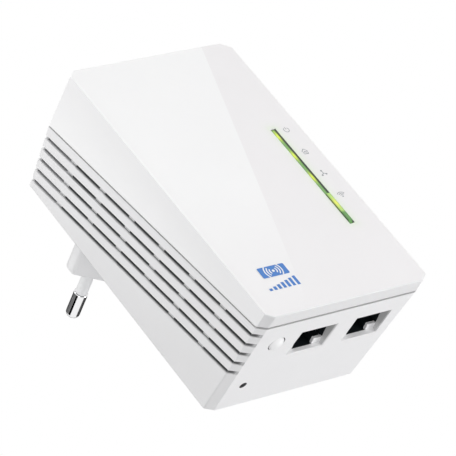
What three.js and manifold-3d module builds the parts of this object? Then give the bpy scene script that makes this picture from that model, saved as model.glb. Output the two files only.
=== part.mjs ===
// Plug in powerline adapter with two network sockets, in millimetres, +Z up.
// The origin is the centre of the plug block's end face, between the two pins.
// +Y points into the wall socket, so the front faces -Y and the network sockets open downwards.
// Pieces are laid out in casing coordinates: x from the middle, y back from the flat of the front,
// z up from the lower front edge. One group moves them all to the origin at the end.

import * as THREE from 'three';
import { mergeVertices } from 'three/addons/utils/BufferGeometryUtils.js';
import Module from 'manifold-3d';

// Casing, a drafted box whose lower wall rises towards the back
const bodyHeight = 94;
const bodyDepth = 40;
const bodyWidth = 54;
const seamFlare = 0.325;
const rearTaper = 1.18;
const bottomRise = 6.09;
const cornerAcross = 2.5;
const frontCornerUp = 1.8;
const cornerUp = 1.4;
const wall = 2;

// Seam between cover and housing, which leans back towards the top, and the lip inside it
const seamBottomDepth = 4.8;
const seamTopDepth = 18.3;
const seamGap = 0.5;
const lipThickness = 1;
const lipReach = 1.8;
const lipRoot = 2.6;
const lipClearance = 0.3;

// Fold that crosses the front, which is flat on its right and falls back towards the upper left
const foldTopX = 18;
const foldBottomX = -13.5;
const foldFall = 0.55;
const foldFootFall = 0.05;
const foldSteps = 8;

// Vents in both side walls
const ventRows = 5;
const ventWindows = 7;
const ventWidth = 1.3;
const ventGrooveDepth = 0.8;
const ventBridge = 2.4;
const ventEndMargin = 1.95;
const ventTopSetback = 3.8;
const ventTopPitch = 3.83;
const ventBottomSetback = 3.25;
const ventBottomPitch = 3.8;

// Light slit in the front, with the key in its lower end
const slitWidth = 1.9;
const slitSideGap = 8.35;
const slitBottom = 23.5;
const slitTop = 60.3;
const keyLength = 11.4;
const guideSunk = 0.8;
const keyProud = 0.15;
const keyTravel = 0.5;
const keyFlangeSpread = 0.9;
const keyFlangeThickness = 0.8;
const slitClearance = 0.1;
const lightHeights = [58.3, 50.2, 42];
const radioLightHeight = 33;
const lightPostWidth = 2;
const ledWidth = 1.6;
const ledLength = 0.8;
const ledThickness = 0.8;
const keySwitchHeight = 1.5;
const keySwitchLength = 5;
const keySwitchWidth = 3;
const keyPlungerRadius = 0.9;
const keyPlungerProud = 0.7;
const keyEndSlope = 1.2;

// Logic board behind the cover
const coverStandoff = 5.4;
const boardThickness = 1.6;
const boardEdgeGap = 1.5;
const seat = 0.1;
const standoffRadius = 2;
const antennaSteel = 0.4;

// Network sockets, one moulded jack behind each recess in the lower wall
const portWidth = 12;
const portDepth = 9.4;
const portLedge = 1.4;
const portStepWidth = 2.7;
const portStepDepth = 1.9;
const portStepHeight = 0.8;
const jackWall = 2;
const jackSideWall = 1;
const jackRearWall = 1;
const jackLength = 16;
const jackCavity = 12;
const contactCount = 8;
const contactPitch = 1.02;
const contactWidth = 0.45;
const contactThickness = 0.35;
const contactRise = 1.5;
const contactBar = 1.2;

// Shares of the width to spare between the lower corner cuts: right of the right jack, between the
// jacks, right of the pair button and left of it
const spareShares = [0.0611, 0.4574, 0.2986, 0.1829];

// Pair button and reset pinhole in the lower wall, and the small board that carries their switches
const pairRadius = 2.3;
const pairClearance = 0.2;
const pairSetback = 13.4;
const pairProud = 0.75;
const pairDome = 0.7;
const pairTravel = 0.5;
const pairFlangeSpread = 1;
const pairFlangeThickness = 0.9;
const pairStemRadius = 1.5;
const pinholeRadius = 1.1;
const resetTravel = 0.25;
const switchWidth = 5.8;
const switchHeight = 3.4;
const switchPlungerRadius = 1.5;
const switchPlungerProud = 0.9;
const plungerClearance = 0.15;
const buttonBoardHeight = 14;

// Plug block and its two pins
const plugDrop = 18.7;
const plugBlockHeight = 17.7;
const plugBlockWidth = 35.3;
const plugBlockThickness = 13.7;
const plugPointLength = 8.2;
const plugPointThickness = 3.4;
const plugFlangeSpread = 1.6;
const plugFlangeThickness = 3;
const plugClearance = 0.2;
const pinPitch = 19;
const pinRadius = 2;
const pinReach = 19;
const pinTipRound = 1.4;
const sleeveReach = 10;
const sleeveSunk = 2;
const sleeveRadius = 1.9;
const sleeveWall = 0.35;
const pinClearance = 0.12;

// Power board behind the sheet, and the headers and screws
const rearStandoff = 4.9;
const powerBoardBottom = 28;
const powerBoardSideGap = 4;
const boardTopDrop = 12;
const sheetThickness = 0.4;
const sheetGap = 4.5;
const headerWidth = 12.7;
const headerHeight = 2.5;
const screwRadius = 1.25;
const screwHeadRadius = 2.1;
const screwHeadHeight = 1.6;
const screwLength = 14;
const screwPostRadius = 3;
const screwSideGap = 7.5;
const screwPostSplit = 0.5;
const screwSeatWall = 1.8;
const screwClearance = 0.25;
const screwTipShare = 0.6;
const screwCrownShares = [0.6, 0.7];

// One overrun serves all cuts
const overrun = 1;
const sideSteps = 4;
const roundFaces = 24;
const smallRoundFaces = 16;

const wasm = await Module();
wasm.setup();

// A closed geometry as a solid that can be cut and joined
function solidOf(geometry) {
  const bare = geometry.clone();
  bare.deleteAttribute('normal');
  bare.deleteAttribute('uv');
  const merged = mergeVertices(bare);
  const corners = merged.index.array;
  const kept = [];
  for (let i = 0; i < corners.length; i += 3) {
    const [a, b, c] = corners.slice(i, i + 3);
    if (a !== b && b !== c && c !== a) kept.push(a, b, c);
  }
  return new wasm.Manifold(new wasm.Mesh({
    numProp: 3,
    vertProperties: new Float32Array(merged.attributes.position.array),
    triVerts: new Uint32Array(kept),
  }));
}

// A solid as a flat shaded geometry
function geometryOf(solid) {
  const mesh = solid.getMesh();
  const geometry = new THREE.BufferGeometry();
  geometry.setAttribute('position', new THREE.BufferAttribute(mesh.vertProperties, 3));
  geometry.setIndex(new THREE.BufferAttribute(mesh.triVerts, 1));
  const flat = geometry.toNonIndexed();
  flat.computeVertexNormals();
  return flat;
}

const join = (geometries) => geometries.map(solidOf).reduce((whole, next) => whole.add(next));
const cut = (solid, geometries) => geometries.map(solidOf).reduce((rest, next) => rest.subtract(next), solid);

// Box between two corners
function block(low, high) {
  const from = new THREE.Vector3(...low);
  const size = new THREE.Vector3(...high).sub(from);
  const geometry = new THREE.BoxGeometry(size.x, size.y, size.z);
  geometry.translate(from.x + size.x / 2, from.y + size.y / 2, from.z + size.z / 2);
  return geometry;
}

// Round bar along y or z between two places
function barAlongY(radius, x, z, from, to, faces = roundFaces) {
  const geometry = new THREE.CylinderGeometry(radius, radius, to - from, faces);
  geometry.translate(x, (from + to) / 2, z);
  return geometry;
}

function barAlongZ(radius, x, y, from, to, faces = roundFaces) {
  const geometry = new THREE.CylinderGeometry(radius, radius, to - from, faces);
  geometry.rotateX(Math.PI / 2);
  geometry.translate(x, y, (from + to) / 2);
  return geometry;
}

// Prism of an outline in x and z that runs along y, and of one in x and y that runs along z
function prismAlongY(outline, from, to) {
  const shape = new THREE.Shape(outline.map(([x, z]) => new THREE.Vector2(x, z)));
  const geometry = new THREE.ExtrudeGeometry(shape, { depth: to - from, bevelEnabled: false });
  geometry.rotateX(Math.PI / 2);
  geometry.translate(0, to, 0);
  return geometry;
}

function prismAlongZ(outline, from, to) {
  const shape = new THREE.Shape(outline.map(([x, y]) => new THREE.Vector2(x, y)));
  const geometry = new THREE.ExtrudeGeometry(shape, { depth: to - from, bevelEnabled: false });
  geometry.translate(0, 0, from);
  return geometry;
}

// Solid of revolution about y, from pairs of radius and y
function turnedAlongY(profile, faces = roundFaces) {
  return new THREE.LatheGeometry(profile.map(([r, y]) => new THREE.Vector2(r, y)), faces);
}

// Closed skin over rings of equal point count, with a flat fan on each end ring
function loft(rings) {
  const count = rings[0].length;
  const faces = [];
  for (let r = 0; r + 1 < rings.length; r++) {
    for (let i = 0; i < count; i++) {
      const a = r * count + i;
      const b = r * count + ((i + 1) % count);
      faces.push(a, b, b + count, a, b + count, a + count);
    }
  }
  const last = (rings.length - 1) * count;
  for (let i = 1; i + 1 < count; i++) faces.push(0, i + 1, i, last, last + i, last + i + 1);
  const geometry = new THREE.BufferGeometry().setFromPoints(rings.flat());
  geometry.setIndex(faces);
  return facingOut(geometry);
}

// The same geometry with its faces turned to point outwards
function facingOut(geometry) {
  const [a, b, c] = [new THREE.Vector3(), new THREE.Vector3(), new THREE.Vector3()];
  const place = geometry.attributes.position;
  const index = geometry.index.array;
  let volume = 0;
  for (let i = 0; i < index.length; i += 3) {
    a.fromBufferAttribute(place, index[i]);
    b.fromBufferAttribute(place, index[i + 1]);
    c.fromBufferAttribute(place, index[i + 2]);
    volume += a.dot(b.cross(c));
  }
  if (volume < 0) {
    for (let i = 0; i < index.length; i += 3) [index[i], index[i + 1]] = [index[i + 1], index[i]];
  }
  return geometry;
}

const mix = (from, to, share) => from + (to - from) * share;

// Planes that cross the casing: a start depth at z = 0 and a lean per unit of height
const seamLean = (seamTopDepth - seamBottomDepth) / bodyHeight;
const rise = bottomRise / bodyDepth;
const frontPlane = { start: 0, lean: 0, up: frontCornerUp };
const rearPlane = { start: bodyDepth, lean: 0, up: cornerUp };
const seamPlane = (shift) => ({ start: seamBottomDepth + shift, lean: seamLean, up: cornerUp });
const seamDepthAt = (z) => seamBottomDepth + seamLean * z;
const bottomAt = (y) => rise * y;

const frontHalf = bodyWidth / 2;
const seamHalf = frontHalf + seamFlare;
const rearHalf = frontHalf - rearTaper;
const slitX = frontHalf - slitSideGap;

// Half width of the housing's outside at a depth and height
const housingHalfAt = (y, z) =>
  mix(seamHalf, rearHalf, (y - seamDepthAt(z)) / (bodyDepth - seamDepthAt(z)));

// Eight cornered outline of the casing on one plane, with extra points up the sides
function casingRing(plane, outerHalf, inset) {
  const footAt = (lift) => (rise * plane.start + lift) / (1 - rise * plane.lean);
  const half = outerHalf - inset;
  const top = bodyHeight - inset;
  const right = [[half - cornerAcross, footAt(inset)]];
  for (let i = 0; i <= sideSteps; i++) {
    right.push([half, mix(footAt(inset + plane.up), top - plane.up, i / sideSteps)]);
  }
  right.push([half - cornerAcross, top]);
  const left = right.map(([x, z]) => [-x, z]).reverse();
  return [...right, ...left].map(([x, z]) => new THREE.Vector3(x, plane.start + plane.lean * z, z));
}

const materials = {
  casing: new THREE.MeshStandardMaterial({ color: 0xf0f0f1, roughness: 0.35, metalness: 0 }),
  guide: new THREE.MeshStandardMaterial({ color: 0x86bf6a, roughness: 0.2, metalness: 0 }),
  key: new THREE.MeshStandardMaterial({ color: 0xaad678, roughness: 0.25, metalness: 0 }),
  jack: new THREE.MeshStandardMaterial({ color: 0x14181b, roughness: 0.45, metalness: 0 }),
  gold: new THREE.MeshStandardMaterial({ color: 0xd9b45a, roughness: 0.25, metalness: 1 }),
  pin: new THREE.MeshStandardMaterial({ color: 0xd2d4d6, roughness: 0.18, metalness: 1 }),
  sleeve: new THREE.MeshStandardMaterial({ color: 0xe4e5e6, roughness: 0.5, metalness: 0 }),
  board: new THREE.MeshStandardMaterial({ color: 0x1f6b3c, roughness: 0.5, metalness: 0 }),
  dark: new THREE.MeshStandardMaterial({ color: 0x1b1c1e, roughness: 0.6, metalness: 0 }),
  steel: new THREE.MeshStandardMaterial({ color: 0xb4b7ba, roughness: 0.35, metalness: 1 }),
  alloy: new THREE.MeshStandardMaterial({ color: 0xc3c6c9, roughness: 0.4, metalness: 1 }),
  light: new THREE.MeshStandardMaterial({ color: 0xe9f27a, roughness: 0.3, metalness: 0 }),
  winding: new THREE.MeshStandardMaterial({ color: 0xd7b13a, roughness: 0.5, metalness: 0 }),
  ferrite: new THREE.MeshStandardMaterial({ color: 0x3a3b3d, roughness: 0.7, metalness: 0 }),
  film: new THREE.MeshStandardMaterial({ color: 0xc9a227, roughness: 0.5, metalness: 0 }),
  ceramic: new THREE.MeshStandardMaterial({ color: 0xd8cdb8, roughness: 0.6, metalness: 0 }),
};

const casing = new THREE.Group();

// One named piece from a solid or a geometry
function addPiece(name, shape, material, place = [0, 0, 0]) {
  const geometry = shape.isBufferGeometry ? shape : geometryOf(shape);
  const mesh = new THREE.Mesh(geometry, material);
  mesh.name = name;
  mesh.position.set(...place);
  casing.add(mesh);
}

// Depths of the layers, from front to back
const boardFront = wall + coverStandoff;
const boardRear = boardFront + boardThickness;
const boardBottom = bottomAt(boardRear) + wall + lipClearance + lipThickness + cornerUp;
const boardTop = bodyHeight - boardTopDrop;
const boardHalf = frontHalf - wall - boardEdgeGap - seat;
const sheetFront = boardRear + sheetGap;
const sheetRear = sheetFront + sheetThickness;
const powerRear = bodyDepth - wall - rearStandoff;
const powerFront = powerRear - boardThickness;
const powerHalf = rearHalf - wall - powerBoardSideGap;
const plugZ = bodyHeight - plugDrop;

// Places of the sockets and the pair button across the lower wall
const jackWidth = portWidth + 2 * jackSideWall;
const pairRimRadius = pairRadius + pairFlangeSpread;
const portFront = boardRear + jackWall + seat;
const portRear = portFront + portDepth;
const ledgeTop = bottomAt(portRear) + portLedge;
const jackFront = boardRear + seat;
const jackRear = portRear + jackRearWall;
const jackMouth = ledgeTop + seat;
const jackTop = jackMouth + jackLength;
const innerHalfAtPorts = housingHalfAt(portRear, bottomAt(portRear)) - wall;
const spareWidth = 2 * (innerHalfAtPorts - cornerAcross - jackWidth - pairRimRadius);
const [sideSpare, jackSpare, pairSpare] = spareShares.map((share) => share * spareWidth);
const rightPortX = innerHalfAtPorts - cornerAcross - sideSpare - jackWidth / 2;
const portCentres = [rightPortX, rightPortX - jackWidth - jackSpare];
const jackLeftEdge = portCentres[1] - jackWidth / 2;
const pairX = jackLeftEdge - pairSpare - pairRimRadius;

// The reset switch lies between the pair switch, the side wall and the rear wall
const pinholeShares = [0.582, 0.717];
const switchHalf = switchWidth / 2;
const pinholeX = mix(switchHalf - housingHalfAt(bodyDepth, 0) + wall, pairX, pinholeShares[0]);
const pinholeSetback = mix(pairSetback + switchWidth, bodyDepth - wall - switchHalf, pinholeShares[1]);
const switchFace = buttonBoardHeight - seat - switchHeight;
const plungerFace = switchFace - switchPlungerProud;

// Screw posts near the top corners
const screwZ = bodyHeight - wall - 2 * lipClearance - lipThickness - screwPostRadius;
const screwXs = [screwSideGap - frontHalf, frontHalf - screwSideGap];
const screwSplit = seamDepthAt(screwZ);
const screwHeadSeat = screwSplit + screwPostSplit / 2 + screwSeatWall;

// Wedge shaped shell that closes the front
function makeFrontCover() {
  const outside = loft([
    casingRing(frontPlane, frontHalf, 0),
    casingRing(seamPlane(-seamGap / 2), seamHalf, 0),
  ]);
  const hollow = loft([
    casingRing(frontPlane, frontHalf, wall),
    casingRing(seamPlane(overrun), seamHalf, wall),
  ]);
  const far = bodyWidth + bodyHeight;
  const frontSlab = block([-far, -overrun, -far], [far, wall, far]);
  let cover = solidOf(outside).subtract(solidOf(hollow).subtract(solidOf(frontSlab)));
  cover = cover.add(coverLip());
  for (const x of screwXs) {
    cover = cover.add(solidOf(barAlongY(screwPostRadius, x, screwZ, wall / 2, screwSplit - screwPostSplit / 2)));
  }
  for (const [x, z] of standoffPlaces()) {
    cover = cover.add(solidOf(barAlongY(standoffRadius, x, z, wall / 2, boardFront - seat, smallRoundFaces)));
  }
  const slit = block(
    [slitX - slitWidth / 2, -overrun, slitBottom],
    [slitX + slitWidth / 2, wall + overrun, slitTop],
  );
  const screwHoles = screwXs.map((x) =>
    barAlongY(screwRadius + plungerClearance, x, screwZ, screwHeadSeat - screwLength - overrun, bodyDepth));
  return cut(cover, [foldCutter(), slit, ...screwHoles]);
}

// Thin lip inside the seam, on a root that thickens the cover's edge
function coverLip() {
  const inset = wall + lipClearance;
  const band = (from, to, outer, inner) => solidOf(loft([
    casingRing(seamPlane(from), seamHalf, outer),
    casingRing(seamPlane(to), seamHalf, outer),
  ])).subtract(solidOf(loft([
    casingRing(seamPlane(from - overrun), seamHalf, inner),
    casingRing(seamPlane(to + overrun), seamHalf, inner),
  ])));
  const root = band(-lipRoot, -seamGap / 2, wall / 2, inset + lipThickness);
  const lip = band(-lipRoot, lipReach, inset, inset + lipThickness);
  return root.add(lip);
}

// Posts of the cover that carry the logic board, in shares of the board's half width and height
function standoffPlaces() {
  const placeShares = [[-0.82, 0.36], [-0.82, 0.94], [0.55, 0.94], [0.5, 0.36]];
  return placeShares.map(([across, up]) => [across * boardHalf, mix(boardBottom, boardTop, up)]);
}

// Wedge that is cut off the front left of the fold, deepest at the upper left
function foldCutter() {
  const rings = [];
  const edge = -frontHalf - overrun;
  for (let i = 0; i <= foldSteps; i++) {
    const share = i / foldSteps;
    const z = mix(-overrun, bodyHeight + overrun, share);
    const creaseX = mix(foldBottomX, foldTopX, share);
    const fall = mix(foldFootFall, foldFall, share);
    const slope = fall / (creaseX - edge);
    rings.push([
      new THREE.Vector3(creaseX + overrun, -overrun * slope, z),
      new THREE.Vector3(edge, fall, z),
      new THREE.Vector3(edge, -overrun, z),
      new THREE.Vector3(creaseX + overrun, -overrun, z),
    ]);
  }
  return loft(rings);
}

// Deep shell behind the seam, with vents, socket recesses, button holes and the plug opening
function makeRearHousing() {
  const outside = loft([
    casingRing(seamPlane(seamGap / 2), seamHalf, 0),
    casingRing(rearPlane, rearHalf, 0),
  ]);
  const hollow = loft([
    casingRing(seamPlane(-overrun), seamHalf, wall),
    casingRing(rearPlane, rearHalf, wall),
  ]);
  const far = bodyWidth + bodyHeight;
  const rearSlab = block([-far, bodyDepth - wall, -far], [far, bodyDepth + overrun, far]);
  let housing = solidOf(outside).subtract(solidOf(hollow).subtract(solidOf(rearSlab)));
  for (const x of screwXs) {
    housing = housing.add(solidOf(
      barAlongY(screwPostRadius, x, screwZ, screwSplit + screwPostSplit / 2, bodyDepth - wall / 2)));
  }
  for (const [x, z] of powerPostPlaces()) {
    housing = housing.add(solidOf(
      barAlongY(standoffRadius, x, z, powerRear + seat, bodyDepth - wall / 2, smallRoundFaces)));
  }
  const plugHole = prismAlongY(plugOutline(plugClearance), bodyDepth - wall - overrun, bodyDepth + overrun);
  const cutters = [plugHole, ...screwSinks(), ...buttonHoles()];
  for (const side of [-1, 1]) {
    for (let row = 0; row < ventRows; row++) cutters.push(...ventCuts(side, row));
  }
  return portCentres.reduce(withPort, cut(housing, cutters));
}

// The housing with a raised ledge round one port, a pocket for its jack, and a corner block each side
// of the keyway that reaches into the jack's notches
function withPort(housing, x) {
  const half = portWidth / 2;
  const front = portFront - jackWall / 2;
  const rear = portRear + jackRearWall;
  const side = [
    [front, bottomAt(front) + wall / 2], [rear, bottomAt(rear) + wall / 2], [rear, ledgeTop], [front, ledgeTop],
  ];
  const ledge = loft([-1, 1].map((end) =>
    side.map(([y, z]) => new THREE.Vector3(x + end * jackWidth / 2, y, z))));
  const pocket = block(
    [x - jackWidth / 2 - seat, jackFront - seat, ledgeTop],
    [x + jackWidth / 2 + seat, jackRear + seat, ledgeTop + jackLength],
  );
  const mouth = block([x - half, portFront, -overrun], [x + half, portRear, ledgeTop + overrun]);
  const corners = [-1, 1].map((side) => {
    const ends = [x + side * (half - portStepWidth), x + side * (jackWidth / 2 - seat)];
    return block(
      [Math.min(...ends), portRear - portStepDepth, ledgeTop],
      [Math.max(...ends), jackRear - seat, ledgeTop + portStepHeight],
    );
  });
  const ported = cut(housing.add(solidOf(ledge)), [pocket, mouth]);
  return corners.reduce((whole, corner) => whole.add(solidOf(corner)), ported);
}

// Socket outline seen from below: full width at the front and a narrower keyway at the rear
function socketOutline(x) {
  const half = portWidth / 2;
  const keyHalf = half - portStepWidth;
  const step = portRear - portStepDepth;
  return [
    [x - half, portFront], [x + half, portFront], [x + half, step], [x + keyHalf, step],
    [x + keyHalf, portRear], [x - keyHalf, portRear], [x - keyHalf, step], [x - half, step],
  ];
}

// Holes of the pair button and the reset pin
function buttonHoles() {
  const reach = bottomAt(bodyDepth) + wall + overrun;
  return [
    barAlongZ(pairRadius + pairClearance, pairX, pairSetback, -overrun, reach),
    barAlongZ(pinholeRadius, pinholeX, pinholeSetback, -overrun, reach, smallRoundFaces),
  ];
}

// Deep holes from the back, narrower past the screw head's seat
function screwSinks() {
  return screwXs.flatMap((x) => [
    barAlongY(screwHeadRadius + screwClearance, x, screwZ, screwHeadSeat, bodyDepth + overrun),
    barAlongY(screwRadius + screwClearance, x, screwZ, screwSplit - overrun, screwHeadSeat + overrun),
  ]);
}

// One row of vents: a groove that runs out over the corner cuts, and windows through its floor
function ventCuts(side, row) {
  const top = bodyHeight - cornerUp;
  const topDepth = seamDepthAt(top) + ventTopSetback + row * ventTopPitch;
  const lowGuess = bottomAt(seamBottomDepth + ventBottomSetback + row * ventBottomPitch);
  const lowDepth = seamDepthAt(lowGuess) + ventBottomSetback + row * ventBottomPitch;
  const foot = bottomAt(lowDepth);
  const low = foot + cornerUp;
  const lean = (topDepth - lowDepth) / (top - low);
  const depthAt = (z) => lowDepth + lean * (z - low);
  const half = (z) => housingHalfAt(depthAt(z), z);
  const far = seamHalf + overrun;

  // Run of the groove's floor over one corner cut, from the side wall to the end wall
  const slant = new THREE.Vector2(cornerAcross, cornerUp).normalize();
  const startShare = ventGrooveDepth * (1 - slant.y) / cornerAcross;
  const runShares = [[startShare, 1], [0.4, 1], [0.65, 0.85], [0.85, 0.5], [1, 0]];
  const runOut = (sideZ, endZ) => runShares.map(([along, deep]) => [
    half(sideZ) - along * cornerAcross - deep * ventGrooveDepth * slant.y,
    mix(sideZ, endZ, along) + deep * ventGrooveDepth * slant.x * Math.sign(sideZ - endZ),
  ]);
  const over = (z) => z + Math.sign(z - bodyHeight / 2) * overrun;
  const floor = [...runOut(low, foot).reverse(), ...runOut(top, bodyHeight)];
  const groove = [[far, over(foot)], [far, over(bodyHeight)],
    [floor.at(-1)[0], over(bodyHeight)], ...floor.slice().reverse(), [floor[0][0], over(foot)]];

  const windowTop = bodyHeight - ventEndMargin;
  const windowFoot = foot + ventEndMargin;
  const windowLength = (windowTop - windowFoot - (ventWindows - 1) * ventBridge) / ventWindows;
  const outlines = [groove];
  for (let i = 0; i < ventWindows; i++) {
    const from = windowFoot + i * (windowLength + ventBridge);
    const to = from + windowLength;
    const inner = rearHalf - wall - overrun / 2;
    outlines.push([[inner, from], [far, from], [far, to], [inner, to]]);
  }
  return outlines.map((outline) => {
    const slab = prismAlongY(outline.map(([x, z]) => [side * x, z]), -ventWidth / 2, ventWidth / 2);
    const leaning = new THREE.Matrix4().set(
      1, 0, 0, 0,
      0, 1, lean, lowDepth - lean * low,
      0, 0, 1, 0,
      0, 0, 0, 1,
    );
    return slab.applyMatrix4(leaning);
  });
}

// Long six sided outline of the plug block, grown by a clearance
function plugOutline(grow) {
  const half = plugBlockWidth / 2 + grow;
  const tall = plugBlockThickness / 2 + grow;
  const flat = half - plugPointLength;
  const point = plugPointThickness / 2 + grow;
  return [
    [-flat, plugZ - tall], [flat, plugZ - tall], [half, plugZ - point], [half, plugZ + point],
    [flat, plugZ + tall], [-flat, plugZ + tall], [-half, plugZ + point], [-half, plugZ - point],
  ];
}

const pinXs = [-pinPitch / 2, pinPitch / 2];
const sleeveBore = sleeveRadius - sleeveWall;
const plugFaceDepth = bodyDepth + plugBlockHeight;

// Plug block, held behind the rear wall by its flange and bored for the pins
function makePlugBlock() {
  const flangeRear = bodyDepth - wall - seat;
  const flange = prismAlongY(plugOutline(plugFlangeSpread), flangeRear - plugFlangeThickness, flangeRear);
  const boss = prismAlongY(plugOutline(0), flangeRear - plugFlangeThickness, plugFaceDepth);
  const bores = pinXs.flatMap((x) => [
    barAlongY(sleeveBore, x, plugZ, powerRear - overrun, plugFaceDepth + overrun),
    barAlongY(sleeveRadius + pinClearance, x, plugZ, plugFaceDepth - sleeveSunk, plugFaceDepth + overrun),
  ]);
  return cut(join([flange, boss]), bores);
}

// Pin with its root soldered in the power board, a thin neck inside the sleeve and a rounded tip
function makePin() {
  const neck = sleeveBore - pinClearance;
  const root = powerFront - boardThickness / 2 - plugFaceDepth;
  const tipSteps = 5;
  const profile = [[0, root], [neck, root], [neck, sleeveReach + seat], [pinRadius, sleeveReach + seat]];
  for (let i = 0; i <= tipSteps; i++) {
    const turn = (i / tipSteps) * (Math.PI / 2);
    const inset = pinTipRound * (1 - Math.cos(turn));
    profile.push([pinRadius - inset, pinReach - pinTipRound * (1 - Math.sin(turn))]);
  }
  profile.push([0, pinReach]);
  return turnedAlongY(profile);
}

// Insulating tube over the first stretch of a pin
function makeSleeve() {
  return turnedAlongY([
    [sleeveBore, -sleeveSunk + seat], [sleeveRadius, -sleeveSunk + seat],
    [sleeveRadius, sleeveReach], [sleeveBore, sleeveReach], [sleeveBore, -sleeveSunk + seat],
  ]);
}

// Clear bar in the slit, with a retaining rim behind the wall and a post over each light
const ledFace = boardFront - seat - ledThickness;
const keyTop = slitBottom + keyLength;

function makeLightGuide() {
  const half = slitWidth / 2 - slitClearance;
  const rimFrom = wall + seat;
  const rimTo = rimFrom + keyFlangeThickness;
  const bar = block([slitX - half, guideSunk, keyTop + slitClearance], [slitX + half, rimTo, slitTop - slitClearance]);
  const rim = block(
    [slitX - half - keyFlangeSpread, rimFrom, keyTop + keyFlangeSpread + slitClearance],
    [slitX + half + keyFlangeSpread, rimTo, slitTop + keyFlangeSpread],
  );
  const posts = lightHeights.map((z) => block(
    [slitX - half, rimFrom, z - lightPostWidth / 2],
    [slitX + half, ledFace - seat, z + lightPostWidth / 2],
  ));
  return join([bar, rim, ...posts]);
}

// Key with a chamfered lower end, a rim behind the wall and a stem to its switch
const keySwitchZ = slitBottom + keySwitchLength / 2;
const keySwitchFace = boardFront - seat - keySwitchHeight;
const keyPlungerFace = keySwitchFace - keyPlungerProud;

function makeWifiButton() {
  const half = slitWidth / 2 - slitClearance;
  const rimFrom = wall + seat;
  const rimTo = rimFrom + keyFlangeThickness;
  const low = slitBottom + slitClearance;
  const high = keyTop - slitClearance;
  const side = [
    [-keyProud, low + keyEndSlope], [-keyProud, high], [rimTo, high], [rimTo, low], [keyEndSlope / 2, low],
  ];
  const stations = [-half, half];
  const bar = loft(stations.map((x) => side.map(([y, z]) => new THREE.Vector3(slitX + x, y, z))));
  const rim = block(
    [slitX - half - keyFlangeSpread, rimFrom, low - keyFlangeSpread],
    [slitX + half + keyFlangeSpread, rimTo, high],
  );
  const stem = barAlongY(keyPlungerRadius, slitX, keySwitchZ, rimFrom, keyPlungerFace - seat, smallRoundFaces);
  return join([bar, rim, stem]);
}

// Switch body with a round well for its plunger, facing -y at the origin of its own frame
function makeSwitchBody(width, height, length, plungerRadius, well) {
  const body = block([-width / 2, 0, -length / 2], [width / 2, height, length / 2]);
  const hole = barAlongY(plungerRadius + plungerClearance, 0, 0, -overrun, well, smallRoundFaces);
  return cut(solidOf(body), [hole]);
}

// Plunger that stands proud of its switch and can sink by its travel
function makePlunger(radius, proud, reach) {
  return barAlongY(radius, 0, 0, -proud, reach, smallRoundFaces);
}

// Domed cap with a rim that keeps it behind the lower wall, and a stem up to its switch
const pairFace = bottomAt(pairSetback) - pairProud;
const pairRimFrom = bottomAt(pairSetback + pairRadius + pairFlangeSpread) + wall + pairClearance;

function makePairButton() {
  const domeSteps = 5;
  const profile = [[0, pairFace]];
  for (let i = 1; i <= domeSteps; i++) {
    const share = i / domeSteps;
    profile.push([pairRadius * share, pairFace + pairDome * share * share]);
  }
  const rim = pairRimRadius;
  profile.push([pairRadius, pairRimFrom], [rim, pairRimFrom], [rim, pairRimFrom + pairFlangeThickness]);
  profile.push([pairStemRadius, pairRimFrom + pairFlangeThickness]);
  profile.push([pairStemRadius, plungerFace - seat], [0, plungerFace - seat]);
  const cap = turnedAlongY(profile);
  cap.rotateX(Math.PI / 2);
  return cap;
}

// Jack with the socket's outline as its cavity, closed at the back and notched for the corner blocks
function makeJack() {
  const body = block([-jackWidth / 2, jackFront, jackMouth], [jackWidth / 2, jackRear, jackTop]);
  const cavity = prismAlongZ(socketOutline(0), jackMouth - overrun, jackMouth + jackCavity);
  const notches = [-1, 1].map((side) => {
    const ends = [side * (portWidth / 2 - portStepWidth - seat), side * (jackWidth / 2 + overrun)];
    return block(
      [Math.min(...ends), portRear - portStepDepth - seat, jackMouth - overrun],
      [Math.max(...ends), jackRear + overrun, ledgeTop + portStepHeight + seat],
    );
  });
  return cut(solidOf(body), [cavity, ...notches]);
}

// Row of spring wires that lean into the cavity from a bar at its closed end
function makeJackContacts() {
  const back = jackMouth + jackCavity - seat;
  const front = portFront + seat;
  const half = (contactCount * contactPitch) / 2;
  const parts = [block([-half, front, back - contactBar], [half, front + contactRise, back])];
  for (let i = 0; i < contactCount; i++) {
    const x = (i - (contactCount - 1) / 2) * contactPitch;
    const side = [
      [front, jackMouth + contactBar], [front + contactThickness, jackMouth + contactBar],
      [front + contactRise, back - contactBar / 2], [front + contactRise - contactThickness, back - contactBar / 2],
    ];
    parts.push(loft([-1, 1].map((end) =>
      side.map(([y, z]) => new THREE.Vector3(x + end * contactWidth / 2, y, z)))));
  }
  return join(parts);
}

// Case screw with a domed head and a straight shank, its head seat at the origin
function makeCaseScrew() {
  const [rimShare, crownShare] = screwCrownShares;
  const headTop = seat + screwHeadHeight;
  return turnedAlongY([
    [0, -screwLength], [screwRadius * screwTipShare, -screwLength], [screwRadius, -screwLength + screwRadius],
    [screwRadius, seat], [screwHeadRadius, seat], [screwHeadRadius, seat + screwHeadHeight * rimShare],
    [screwHeadRadius * crownShare, headTop], [0, headTop],
  ], smallRoundFaces);
}

// Posts of the housing that carry the power board, in shares of the board
function powerPostPlaces() {
  const placeShares = [[-0.85, 0.1], [0.85, 0.1], [-0.85, 0.6], [0.85, 0.6]];
  return placeShares.map(([across, up]) => [across * powerHalf, mix(powerBoardBottom, boardTop, up)]);
}

// Places on a board as shares of its half width and height
const onLogic = (across, up) => [across * boardHalf, mix(boardBottom, boardTop, up)];
const onPower = (across, up) => [across * powerHalf, mix(powerBoardBottom, boardTop, up)];
const powerRoom = powerFront - sheetRear - 2 * seat;
const logicRoom = sheetFront - boardRear - 2 * seat;

// Box shaped part on the power board or the back of the logic board, with a bevelled top
const chipBevelShare = 0.2;

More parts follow.
